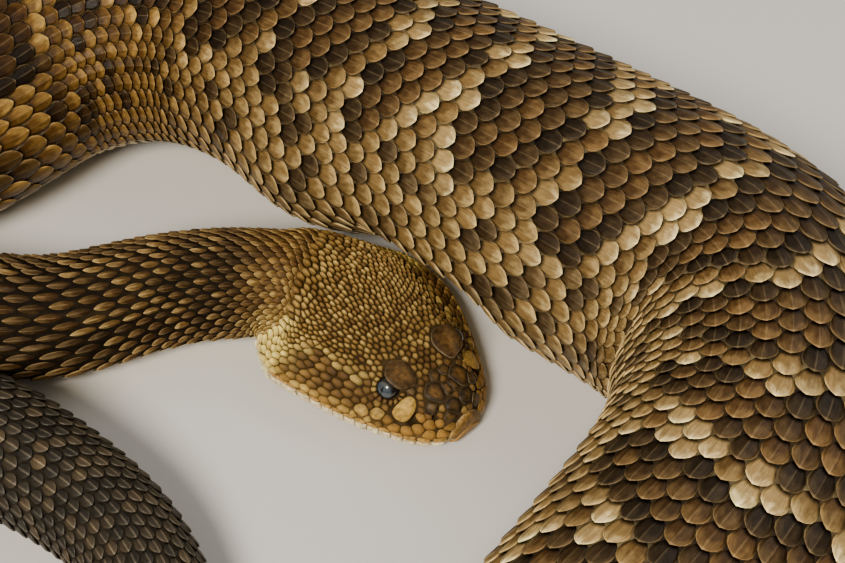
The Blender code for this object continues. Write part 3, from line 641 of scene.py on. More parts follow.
def scales(name, s, angle, half_long, half_wide, colour, material, span,
           outline, keel=0.15, keel_at=0.14, lift=1.0, bow=0.3, thick=0.3, sink=0.25,
           rim=0.25, keel_glint=0.25, edge_round=0.12, turn=None):
    """A joined mesh of many overlapping scales.

    s, angle place each scale; half_long is in mm and half_wide in radians.
    outline gives its half width at eight places from its hidden front to its
    free tip.  Its front is sunk in the skin and its tip stands at the coat's
    full depth.  span = (first, last) place along the spine is the piece's own
    part of the unwrapped skin."""
    count = len(s)
    if not count:
        return None
    s, angle = np.asarray(s, float), np.asarray(angle, float)
    full = lambda v: np.broadcast_to(np.asarray(v, float), (count,))
    half_long, half_wide, keel, lift, bow = map(full, (half_long, half_wide, keel, lift, bow))
    thick, sink, keel_at, rim, keel_glint = map(full, (thick, sink, keel_at, rim, keel_glint))
    outline = np.broadcast_to(np.asarray(outline, float), (count, ROWS_ON))
    cross = np.stack([-np.ones(count), -0.62 * np.ones(count), -keel_at, np.zeros(count), keel_at, 0.62 * np.ones(count), np.ones(count)], -1)
    u = np.broadcast_to(U[None, :, None], (count, ROWS_ON, COLUMNS))
    v = np.broadcast_to(cross[:, None, :], (count, ROWS_ON, COLUMNS))
    w = outline[:, :, None]
    u = u - 0.035 * v**2 * ramp(u, 0.5, 1.0)
    if turn is None:
        ds = u * half_long[:, None, None]
        da = v * w * half_wide[:, None, None]
    else:
        _, radian = outward(s, angle)
        x, y = u * half_long[:, None, None], v * w * (half_wide * radian)[:, None, None]
        t = full(turn)[:, None, None]
        ds = x * np.cos(t) - y * np.sin(t)
        da = (x * np.sin(t) + y * np.cos(t)) / radian[:, None, None]
    at_s, at_angle = s[:, None, None] + ds, angle[:, None, None] + da
    q = (u + 1) / 2
    coat = COAT(s)[:, None, None] * lift[:, None, None]
    height = -(coat + sink[:, None, None]) * np.clip(1 - q, 0, 1) ** 1.35
    height = height - bow[:, None, None] * (v * w) ** 2 * (0.4 + 0.6 * q)
    edge = np.maximum(np.abs(v), ramp(u, 0.6, 1.0))
    height = height - edge_round * ramp(edge, 0.75, 1.0)
    height = height + keel[:, None, None] * (np.abs(v) < 0.01) * ramp(q, 0.15, 0.5) * (1 - 0.7 * ramp(q, 0.9, 1.0))
    height = height - 0.35 * keel[:, None, None]
    top_s, top_a, top_h = (x.reshape(count, -1) for x in (at_s, at_angle, height))
    low_s, low_a = top_s[:, SCALE_RING], top_a[:, SCALE_RING]
    centre_s, centre_a = s[:, None], angle[:, None]
    low_s = centre_s + (low_s - centre_s) * 0.94
    low_a = centre_a + (low_a - centre_a) * 0.94
    low_h = top_h[:, SCALE_RING] - thick[:, None]
    all_s = np.concatenate([top_s, low_s], 1)
    all_a = np.concatenate([top_a, low_a], 1)
    all_h = np.concatenate([top_h, low_h], 1)
    points = place(all_s, all_a, all_h)
    # colour: painted shade where its front is tucked in under the scale ahead, a paler free edge that is partly its own
    # paler edge and partly painted highlight, and a painted highlight along the keel
    colour = np.asarray(colour, float)
    tucked_shade = (0.62 + 0.38 * ramp(q, 0.15, 0.5)).reshape(count, -1, 1)
    tint = colour[:, None, :] * tucked_shade
    free = (ramp(edge, 0.62, 1.0) * ramp(q, 0.35, 0.65)).reshape(count, -1, 1)
    tint = tint + free * rim[:, None, None] * (colour[:, None, :] * 0.5 + np.array((0.030, 0.024, 0.014)))
    ridge = ((np.abs(v) < 0.01) * ramp(q, 0.3, 0.55)).reshape(count, -1, 1)
    tint = tint + ridge * keel_glint[:, None, None] * (colour[:, None, :] * 0.4 + np.array((0.030, 0.025, 0.018)))
    # painted shade: the hidden underside and lower rim are dark, so a dark shadow line shows under the free edge
    underside_shade = np.repeat(colour[:, None, :] * 0.07, len(SCALE_RING), 1)
    tint = np.concatenate([tint, underside_shade], 1)
    # its own small patch on the unwrapped skin
    first, last = span
    root_u = 0.01 + 0.98 * (s - first) / (last - first)
    root_v = 0.5 + 0.97 * angle / (2 * math.pi)
    local_u = (u * 0.0015).reshape(count, -1)
    local_v = (v * w * 0.0015).reshape(count, -1)
    local_u = np.concatenate([local_u, local_u[:, SCALE_RING] * 0.8], 1)
    local_v = np.concatenate([local_v, local_v[:, SCALE_RING] * 0.8], 1)
    uv = np.stack([root_u[:, None] + local_u, root_v[:, None] + local_v], -1)
    own = np.broadcast_to(chance(s * 0.37, angle * 9.1)[:, None], (count, low_s.shape[1] + top_s.shape[1]))
    flat_u, flat_v = u.reshape(count, -1), v.reshape(count, -1)
    lie = np.stack([np.concatenate([flat_u, flat_u[:, SCALE_RING]], 1), np.concatenate([flat_v, flat_v[:, SCALE_RING]], 1), own], -1)
    aside = (v * w).reshape(count, -1)
    aside = np.concatenate([aside, aside[:, SCALE_RING]], 1)
    per = points.shape[1]
    loops = (np.arange(count)[:, None] * per + SCALE_LOOPS[None]).ravel()
    starts = (np.arange(count)[:, None] * len(SCALE_LOOPS) + SCALE_STARTS[None]).ravel()
    return make_piece(name, points.reshape(-1, 3), loops, starts, tint.reshape(-1, 3), uv.reshape(-1, 2), material, lie.reshape(-1, 3), aside)


# ------------------------------------------------------------------- the skin
def head_dents(points, normal, s):
    """How far the skin of the head sinks at the mouth, the eyes, the pits and the nostrils."""
    sink = np.zeros(len(points))
    mouth = MOUTH_Z(np.maximum(s, 0))
    line = np.exp(-(((points[:, 2] - mouth) / 0.32) ** 2)) * (1 - ramp(s, MOUTH_END - 3, MOUTH_END + 1))
    sink += 0.9 * line
    for side in (1, -1):
        eye = np.linalg.norm(points - head_place(*EYE_AT, side), axis=1)
        sink += 0.9 * np.exp(-((eye / 3.3) ** 4))
        pit = np.linalg.norm(points - head_place(*PIT_AT, side), axis=1)
        sink += 2.2 * np.exp(-((pit / 1.7) ** 4))
        hole = np.linalg.norm(points - head_place(*NOSTRIL_AT, side), axis=1)
        sink += 1.6 * np.exp(-((hole / 1.15) ** 4))
    return sink


def make_skin():
    fine_around, coarse_around = 192, 96
    front = -4.0 + 4.0 * np.linspace(0.03, 1, 10)
    head = np.concatenate([front, np.arange(0.45, 64.0, 0.5)])
    body = np.concatenate([np.arange(64.3, 180, 1.8), np.arange(180, RATTLE_AT - 0.2, 2.6), [RATTLE_AT]])
    rows, starts, faces_l, faces_s = [], [], [], []
    points, tints, uvs = [], [], []
    number = 0
    for stations, around in ((head, fine_around), (body, coarse_around)):
        angle = (np.arange(around) + 0.0) / around * 2 * math.pi - math.pi
        s, a = np.meshgrid(stations, angle, indexing="ij")
        s, a = s.ravel(), a.ravel()
        normal, _ = outward(s, a)
        base = surface(s, a)
        depth = COAT(s)
        if around == fine_around:
            depth = depth + head_dents(base, normal, s)
        p = base - normal * depth[:, None]
        p[:, 2] = np.maximum(p[:, 2], 0.12)
        points.append(p)
        grey = markings(s, a, np.round(a * 12), np.round(s / 6)) * 0.16 + np.array((0.012, 0.010, 0.008))
        # the bare skin between the lower rows is paler
        low = ramp(np.degrees(np.abs(a)), 42.0, 75.0) * ramp(s, 230.0, 420.0) * (1 - ramp(s, 1150.0, 1280.0))
        grey = lerp(grey, np.broadcast_to(np.array((0.16, 0.125, 0.075)), grey.shape), 0.22 * low)
        grey = grey * (1 - 0.65 * ramp(s, 56.0, 66.0) * (1 - ramp(s, 190.0, 260.0)))[:, None]
        if around == fine_around:
            grey = lerp(head_skin_colour(s, a, p), grey, ramp(s, 50.0, 60.0))
        tints.append(grey)
        uvs.append(np.stack([s, a], -1))
        rows.append((number, len(stations), around))
        number += len(p)
    quads = []
    for first, count, around in rows:
        i, j = np.meshgrid(np.arange(count - 1), np.arange(around), indexing="ij")
        i, j = i.ravel(), j.ravel()
        k = (j + 1) % around
        quads.append(np.stack([first + i * around + j, first + i * around + k, first + (i + 1) * around + k, first + (i + 1) * around + j], -1))
    quads = np.concatenate(quads)
    faces = [tuple(q) for q in quads]
    # where the finer net of the head meets the body's
    last = rows[0][0] + (rows[0][1] - 1) * fine_around
    begin = rows[1][0]
    for j in range(coarse_around):
        a, b, c = last + 2 * j, last + 2 * j + 1, last + (2 * j + 2) % fine_around
        d, e = begin + j, begin + (j + 1) % coarse_around
        faces += [(a, b, d), (b, e, d), (b, c, e)]
    points, tints, uvs = (np.concatenate(v) for v in (points, tints, uvs))
    ends = np.array([surface(np.array([-4.0]), np.array([0.0]))[0] + BACK_3 * 0.4, points[begin + (rows[1][1] - 1) * coarse_around :][:coarse_around].mean(0)])
    points = np.vstack([points, ends])
    tints = np.vstack([tints, tints[:1], tints[-1:]])
    uvs = np.vstack([uvs, [[-4.0, np.nan]], [[RATTLE_AT, np.nan]]])
    n = len(points)
    tail_ring = begin + (rows[1][1] - 1) * coarse_around
    for j in range(fine_around):
        faces.append((j, n - 2, (j + 1) % fine_around))
    for j in range(coarse_around):
        faces.append((tail_ring + j, tail_ring + (j + 1) % coarse_around, n - 1))
    loops = np.concatenate([np.array(f) for f in faces])
    starts = np.concatenate([[0], np.cumsum([len(f) for f in faces])[:-1]])
    # its map: three strips of the length, one over the other, each face whole in one of them
    spread = []
    for f in faces:
        s, a = uvs[list(f)].T
        first = a[~np.isnan(a)][0]
        a = first + (a - first + math.pi) % (2 * math.pi) - math.pi
        a = np.where(np.isnan(a), np.nanmean(a), a)
        strip = min(math.floor(max(s.min(), 0.0) / 486.0), 2)
        across = 0.02 + 0.96 * (a / (2 * math.pi) + 0.5)
        if across.max() > 0.999:
            across = across - 0.96
        if across.min() < 0.001:
            across = across + 0.96 if across.max() < 0.03 else np.maximum(across, 0.001)
        spread.append(np.stack([0.01 + 0.98 * (s - strip * 486.0 + 4) / 492.0, (strip + across) / 3], -1))
    return make_piece("skin", points, loops, starts, tints, np.clip(np.concatenate(spread), 0, 1), SKIN)


BACK_3 = np.array((BACK[0], BACK[1], 0.0))


def head_skin_colour(s, a, p):
    deg = np.degrees(np.abs(a))
    colour = np.broadcast_to(np.array((0.040, 0.025, 0.010)), (len(s), 3))
    colour = lerp(colour, np.array((0.11, 0.065, 0.022)), ramp(deg, 76, 92))
    colour = lerp(colour, np.array((0.42, 0.34, 0.20)), ramp(deg, 107, 112))
    mouth = np.exp(-(((p[:, 2] - MOUTH_Z(np.maximum(s, 0))) / 0.4) ** 2)) * (s < MOUTH_END)
    return lerp(colour, np.array((0.03, 0.018, 0.012)), mouth * 0.9)


# ------------------------------------------------------------ rows of scales
LENGTHWISE = table(((46.0, 2.1), (56.0, 2.4), (64.0, 3.2), (75.0, 4.3), (92.0, 5.2), (110.0, 5.8), (128.0, 6.5), (170.0, 6.5), (230.0, 6.2),
                    (400.0, 6.0), (900.0, 6.0), (1100.0, 5.8), (1250.0, 5.2), (1320.0, 4.2), (1380.0, 3.6), (1460.0, 3.1)))
ROWS_EACH_SIDE = table(((46.0, 17.0), (58.0, 16.4), (66.0, 15.0), (75.0, 13.6), (90.0, 12.2), (105.0, 11.3), (120.0, 11.0), (185.0, 11.0),
                        (205.0, 12.0), (290.0, 12.0), (310.0, 13.0), (850.0, 13.0), (870.0, 12.0), (975.0, 12.0), (990.0, 11.0),
                        (1105.0, 11.0), (1120.0, 10.0), (1205.0, 10.0), (1220.0, 9.0), (1300.0, 9.0), (1312.0, 8.0),
                        (1385.0, 8.0), (1400.0, 7.0), (1460.0, 7.0)))
ROW_ANGLE = table(((0, 0), (1, 8.2), (2, 16.4), (3, 24.6), (4, 33.0), (5, 41.5), (6, 49.5), (7, 57.0), (8, 64.5), (9, 73.0),
                   (10, 83.0), (11, 94.0), (12, 105.0), (13, 115.5), (13.6, 121.0)))
ROLL = table(((0.0, 4.0), (30.0, 4.0), (60.0, 1.0), (90.0, 0.0), (500.0, 0.0), (580.0, 4.0), (800.0, 4.0), (880.0, 0.0), (1500.0, 0.0)))
ROWS_BEGIN = 54.0


def row_angle(k, s):
    """Degrees of row k, counted from the backbone; + is the left side."""
    base = np.sign(k) * ROW_ANGLE(np.abs(k) * 13.0 / ROWS_EACH_SIDE(s))
    return base + ROLL(s) * (1 - (base / 118.0) ** 2)


def lattice():
    """(s, angle, row, number, spacing of the rows in radians) of every scale behind the head."""
    fine = np.arange(ROWS_BEGIN, RATTLE_AT, 0.25)
    steps = np.concatenate([[0], np.cumsum(0.25 / LENGTHWISE(fine[:-1] + 0.125))])
    steps = steps - np.interp(677.0, fine, steps)
    found = []
    for k in range(-17, 18):
        number = np.arange(math.ceil(steps[0]), math.floor(steps[-1]) + 1)
        at = number + 0.5 * (k % 2)
        s = np.interp(at, steps, fine)
        keep = (at <= steps[-1]) & (abs(k) <= ROWS_EACH_SIDE(s) + 0.35) & (s < RATTLE_AT - 1.0)
        s, number = s[keep], number[keep]
        angle = row_angle(float(k), s)
        gap = (row_angle(k + 0.5, s) - row_angle(k - 0.5, s)) if abs(k) < 17 else np.full(len(s), 6.0)
        found.append(np.stack([s, np.radians(angle), np.full(len(s), float(k)), number, np.radians(np.abs(gap))], -1))
    return np.concatenate(found)


BROAD = np.array((0.28, 0.66, 0.97, 1.00, 0.84, 0.57, 0.31, 0.10))
LANCE = np.array((0.30, 0.76, 1.00, 0.98, 0.83, 0.57, 0.31, 0.10))
LEAF = np.array((0.32, 0.74, 0.98, 0.97, 0.80, 0.56, 0.31, 0.10))


def make_rows():
    rows = lattice()
    s, angle, row, number, gap = rows.T
    lance = ramp(s, 66, 84) * (1 - ramp(s, 185, 300))
    taily = ramp(s, 1225, 1320)
    colour = markings(s, angle, row, number)
    outline = BROAD[None] * (1 - lance)[:, None] + LANCE[None] * lance[:, None]
    outline = outline * (1 - taily)[:, None] + LEAF[None] * taily[:, None]
    jitter = 1 + 0.05 * (chance(row, number) - 0.5)
    pitch = LENGTHWISE(s)
    small = ramp(pitch, 2.2, 6.0)
    half_long = pitch * (0.75 - 0.15 * lance - 0.05 * taily) * jitter
    half_wide = gap * (0.57 - 0.19 * lance - 0.035 * taily) * (2 - jitter)
    deg = np.degrees(np.abs(angle))
    keel = (0.16 * (1 - ramp(deg, 60, 95)) + 0.02) * (1 - lance) * (1 - taily) + 0.42 * lance + 0.34 * taily * (1 - 0.6 * ramp(deg, 80, 115))
    keel = keel * (0.45 + 0.55 * small)
    keel_at = 0.13 + 0.14 * np.maximum(lance, taily)
    bow = (0.30 - 0.05 * lance) * (0.4 + 0.6 * small)
    thick = 0.20 + 0.16 * small
    # how strongly the free edge is brightened (partly its own paler edge, partly painted highlight) and how strong the
    # painted glint along the keel is
    rim = 0.30 + 0.25 * (colour.mean(1) < 0.12) - 0.2 * lance
    light = 0.55 * (1 - ramp(colour.mean(1), 0.1, 0.3)) + 0.10 + 0.55 * taily + 0.3 * lance
    pieces = [("scales_neck", 0, 185.0, SCALE_NECK, "neck_scales")]
    edges = [185.0, 350.0, 520.0, 690.0, 860.0, 1040.0, 1250.0]
    for i, (a, b) in enumerate(zip(edges[:-1], edges[1:])):
        pieces.append((f"scales_body_{i + 1}", a, b, SCALE_BODY, "body_scales"))
    pieces.append(("scales_tail", 1250.0, 1500.0, SCALE_TAIL, "tail_scales"))
    for name, a, b, material, slot in pieces:
        pick = (s >= a) & (s < b)
        span = (max(a, ROWS_BEGIN - 2), min(b, RATTLE_AT + 1))
        scales(name, s[pick], angle[pick], half_long[pick], half_wide[pick], colour[pick], material, span, outline[pick],
               keel=keel[pick], keel_at=keel_at[pick], bow=bow[pick], thick=thick[pick], rim=rim[pick], keel_glint=light[pick])
        print(name, int(pick.sum()), "scales", int(pick.sum()) * SCALE_TRIANGLES, "triangles")


def make_scutes():
    """Wide scutes across the belly, one for each step of the rows above."""
    fine = np.arange(ROWS_BEGIN + 4, RATTLE_AT - 2, 0.25)
    pitch = np.maximum(LENGTHWISE(fine), 4.2)
    steps = np.concatenate([[0], np.cumsum(0.25 / pitch[:-1])])
    s = np.interp(np.arange(0.5, steps[-1], 1.0), steps, fine)
    lot = chance(np.arange(len(s)), 3.0)
    colour = lerp(BELLY, SAND, 0.5 * lot)
    colour = lerp(colour, TAIL * 2, ramp(s, 1230, 1330))
    outline = np.array((0.96, 1.0, 1.0, 1.0, 1.0, 1.0, 0.99, 0.97))
    scales("scutes_belly", s, np.full(len(s), math.pi), np.interp(s, fine, pitch) * 0.62, math.radians(62.0), colour, SCUTE,
           (50.0, RATTLE_AT + 2), outline, keel=0.0, lift=0.6, bow=0.0, thick=0.3, sink=0.1, rim=0.1, keel_glint=0.0, edge_round=0.05)


# --------------------------------------------------------------------- the head
def nearest(point):
    """The place (s, angle) on the head's outline nearest to a point."""
    s, a = np.meshgrid(np.arange(-3.0, 30.0, 0.25), np.radians(np.arange(-130, 130, 1.0)), indexing="ij")
    i = np.unravel_index(np.linalg.norm(surface(s, a) - point, axis=-1).argmin(), s.shape)
    return float(s[i]), float(a[i])


def tangents(s, angle):
    """Positions, unit directions along and across, outward normals, and how (s, angle) change per mm along and across."""
    ds, da = 0.3, 0.01
    here = surface(s, angle)
    by_s = (surface(s + ds, angle) - surface(s - ds, angle)) / (2 * ds)
    by_a = (surface(s, angle + da) - surface(s, angle - da)) / (2 * da)
    normal = np.cross(by_a, by_s)
    normal /= np.maximum(np.linalg.norm(normal, axis=-1, keepdims=True), 1e-9)
    t = by_s / np.maximum(np.linalg.norm(by_s, axis=-1, keepdims=True), 1e-9)
    b = np.cross(t, normal)
    b *= np.sign((b * by_a).sum(-1, keepdims=True) + 1e-9)
    j11, j12 = (by_s * t).sum(-1), (by_a * t).sum(-1)
    j21, j22 = (by_s * b).sum(-1), (by_a * b).sum(-1)
    det = j11 * j22 - j12 * j21
    det = np.where(np.abs(det) < 0.5, 0.5 * np.sign(det + 1e-9), det)
    back = np.stack([j22, -j12, -j21, j11], -1) / det[..., None]
    return here, t, b, normal, back


# What each little scale of the head's mosaic carries, besides its place.
FIELDS = ("s", "angle", "a", "b", "keel", "dome", "tilt", "lean", "lift", "thick", "line", "shape", "kind", "lot")
RINGS = np.array((0.0, 0.30, 0.60, 0.82, 0.93, 1.0))


def mosaic(name, items, colours, rims, make, material, span, split):
    """Shields and granules that fill the head edge to edge with a thin gap between them.

    Each is a cell about its centre, bounded half-way to each neighbour (nearer
    the smaller one), with rounded corners and never much larger than its own
    ellipse a x b mm."""
    get = {f: items[:, i] for i, f in enumerate(FIELDS)}
    here, t, b_dir, normal, back = tangents(get["s"], get["angle"])
    phi = np.arange(split) / split * 2 * math.pi
    points, tints, uvs, lies, faces = [], [], [], [], []
    number = 0
    fan = [(0, 1 + j, 1 + (j + 1) % split) for j in range(split)]
    net = [(1 + r * split + j, 1 + (r + 1) * split + j, 1 + (r + 1) * split + (j + 1) % split, 1 + r * split + (j + 1) % split)
           for r in range(len(RINGS) - 1) for j in range(split)]
    last = 1 + (len(RINGS) - 1) * split
    cap = [tuple(last + j for j in range(split))[::-1]]
    shape = [np.array(f) for f in fan + net + cap]
    for i in np.flatnonzero(make):
        d = here - here[i]
        dist = np.linalg.norm(d, axis=1)
        near = np.flatnonzero((dist < 3.2 * max(get["a"][i], get["b"][i]) + 3.0) & (dist > 1e-6) & (get["kind"] != 9))
        dx, dy = (d[near] * t[i]).sum(1), (d[near] * b_dir[i]).sum(1)
        flat = np.hypot(dx, dy)
        dx, dy = dx / np.maximum(flat, 1e-9) * dist[near], dy / np.maximum(flat, 1e-9) * dist[near]
        a, b = get["a"][i], get["b"][i]
        ux, uy = dx / a, dy / b
        far = np.hypot(ux, uy)
        way = np.arctan2(uy, ux)
        mine = 1 / np.hypot(np.cos(way), np.sin(way))
        angle_mm = np.arctan2(dy, dx)
        r_i = 1 / np.hypot(np.cos(angle_mm) / a, np.sin(angle_mm) / b)
        r_j = 1 / np.hypot(np.cos(angle_mm) / get["a"][near], np.sin(angle_mm) / get["b"][near])
        bound = far * r_i / (r_i + r_j) * mine
        c = np.cos(phi[None] - way[:, None])
        reach = np.where(c > 0.12, bound[:, None] / np.maximum(c, 0.12), 1e3)
        power = 9.0
        wobble = 1 + 0.03 * np.sin(2 * phi + i * 1.3) + 0.02 * np.sin(3 * phi + i * 2.9)
        r = (np.maximum(reach, 0.05) ** -power).sum(0)
        square = get["shape"][i]
        own = 1.30 / (np.abs(np.cos(phi)) ** square + np.abs(np.sin(phi)) ** square) ** (1 / square) * wobble
        r = (r + own**-power) ** (-1 / power)
        x, y = a * r * np.cos(phi), b * r * np.sin(phi)
        size = np.hypot(x, y)
        seam = 0.055 if get["kind"][i] >= 4 else 0.09
        shrink = np.maximum(size - seam, 0.4 * size) / np.maximum(size, 1e-9)
        x, y = x * shrink, y * shrink
        rho = np.repeat(RINGS[1:], split)
        xs = np.concatenate([[0], rho * np.tile(x, len(RINGS) - 1), x * 0.95])
        ys = np.concatenate([[0], rho * np.tile(y, len(RINGS) - 1), y * 0.95])
        rho = np.concatenate([[0], rho, np.ones(split)])
        half_b = max(np.abs(y).max(), 0.1)
        half_a = max(np.abs(x).max(), 0.1)
        height = get["dome"][i] * (1 - rho**2.2) - 0.16 * ramp(rho, 0.80, 1.0) - 0.3 * get["dome"][i]
        height += get["keel"][i] * np.exp(-((ys / (0.26 * half_b)) ** 2)) * (1 - rho**4)
        height += get["tilt"][i] * xs / half_a
        height += get["lift"][i] + get["lean"][i] * ramp(ys * np.sign(get["angle"][i]) / half_b, -0.1, 1.0)
        height[-split:] -= get["thick"][i]
        j = back[i]
        at_s = get["s"][i] + j[0] * xs + j[1] * ys
        at_a = get["angle"][i] + j[2] * xs + j[3] * ys
        points.append((at_s, at_a, height))
        blend = ramp(rho, 0.25, 0.88)[:, None]
        top = colours[i] * (1 - blend) + rims[i] * blend
        # painted highlight towards its raised rear tip and along its keel, painted shade at its tucked front; some also
        # get a fine pale line round their edge
        top = top * (1 + 1.6 * get["tilt"][i] * xs / half_a + 1.2 * get["keel"][i] * np.exp(-((ys / (0.35 * half_b)) ** 2)) * (1 - rho**2))[:, None]
        top = top + get["line"][i] * ramp(rho, 0.94, 0.995)[:, None] * np.array((0.30, 0.235, 0.14))
        # painted shade: the underside is dark
        top[-split:] *= 0.15
        tints.append(top)
        lies.append(np.stack([xs / half_a, ys / half_b, np.full(len(xs), get["lot"][i])], -1))
        first, final = span
        root = np.array((0.01 + 0.98 * (get["s"][i] - first) / (final - first), 0.5 + 0.97 * get["angle"][i] / (2 * math.pi)))
        wide = 0.0015 * max(1.0, max(half_a, half_b) / 1.3)
        uvs.append(root + np.stack([xs / half_a, ys / half_b], -1) * wide)
        faces += [f + number for f in shape]
        number += len(xs)
    at_s, at_a, height = (np.concatenate(v) for v in zip(*points))
    points = place(at_s, at_a, height)
    # the far side of a steep place can turn a cell over
    starts = np.concatenate([[0], np.cumsum([len(f) for f in faces])[:-1]])
    made = make_piece(name, points, np.concatenate(faces), starts, np.concatenate(tints), np.concatenate(uvs), material, np.concatenate(lies))
    print(name, int(make.sum()), "cells", sum(len(f) - 2 for f in faces), "triangles")
    return made


def granule_size(s, deg):
    """Half length and half width, mm, of the small scales at this place on the head."""
    a = np.interp(s, (0, 10, 16, 24, 30, 42, 50, 56), (0.95, 1.00, 0.92, 0.95, 0.92, 0.93, 1.05, 1.35))
    b = np.interp(s, (0, 10, 16, 24, 30, 42, 50, 56), (0.90, 0.92, 0.80, 0.70, 0.56, 0.57, 0.68, 0.95))
    side = ramp(deg, 52.0, 58.0) * ramp(s, 16.0, 21.0)
    temple = side * (1 - ramp(s, 38.0, 44.0))
    a = a + (1.68 - a) * temple
    b = b + (1.04 - b) * temple
    ring = ramp(deg, 46.0, 56.0) * ramp(s, 12.0, 14.0) * (1 - ramp(s, 20.0, 23.0))
    a = a + (0.95 - a) * ring
    b = b + (0.90 - b) * ring
    cheek = ramp(deg, 64.0, 76.0) * ramp(s, 37.0, 42.0)
    a = a + (1.40 - a) * cheek
    b = b + (1.02 - b) * cheek
    lore = (1 - ramp(s, 12.0, 15.0)) * ramp(deg, 58.0, 64.0)
    a = a + (1.60 - a) * lore
    b = b + (1.40 - b) * lore
    return a, b


TILTED = 4.5  # degrees: the head is turned a little, so that its midline lies towards the left


def mid(deg, side):
    return math.radians(side * deg + TILTED * (1 - (deg / 95.0) ** 2))


# The larger shields of one side: kind, s, degrees, half length, half width, dome, tilt, lean, lift, squareness
SHIELDS = (
    ("brow", 15.9, 34.0, 5.8, 3.9, 0.30, 0.0, 1.55, 0.30, 2.5),
    ("canthal", 7.9, 25.5, 3.35, 3.2, 0.22, 0.0, 0.1, 0.0, 2.4),
    ("internasal", 2.9, 20.0, 2.4, 2.6, 0.20, 0.0, 0.0, 0.0, 2.4),
    ("plate", 6.9, 4.8, 1.9, 1.65, 0.18, 0.0, 0.0, 0.0, 2.3),
    ("plate", 10.9, 8.0, 1.6, 1.7, 0.18, 0.0, 0.0, 0.0, 2.3),
    ("nasal", 6.0, 47.0, 1.9, 2.2, 0.20, 0.0, 0.0, 0.05, 2.4),
    ("nasal", 1.9, 46.0, 1.5, 2.2, 0.20, 0.0, 0.0, 0.05, 2.4),
    ("loreal", 11.0, 62.5, 3.3, 4.7, 0.26, 0.1, -0.1, 0.12, 2.1),
    ("plate", 12.0, 46.0, 1.6, 1.3, 0.16, 0.0, 0.0, 0.05, 2.3),
    ("pale", 15.4, 78.0, 1.9, 1.7, 0.16, 0.0, 0.0, 0.0, 2.3),
    ("pale", 19.1, 81.0, 1.9, 1.7, 0.16, 0.0, 0.0, 0.0, 2.3),
)
TONES = {
    "brow": (np.array((0.104, 0.053, 0.013)), np.array((0.050, 0.027, 0.0085))),
    "canthal": (np.array((0.108, 0.054, 0.012)), np.array((0.022, 0.013, 0.005))),
    "internasal": (np.array((0.060, 0.032, 0.009)), np.array((0.018, 0.011, 0.005))),
    "plate": (np.array((0.090, 0.048, 0.012)), np.array((0.027, 0.016, 0.006))),
    "nasal": (np.array((0.085, 0.048, 0.013)), np.array((0.030, 0.018, 0.007))),
    "loreal": (np.array((0.45, 0.285, 0.060)), np.array((0.36, 0.22, 0.045))),
    "pale": (np.array((0.42, 0.265, 0.065)), np.array((0.30, 0.185, 0.045))),
}


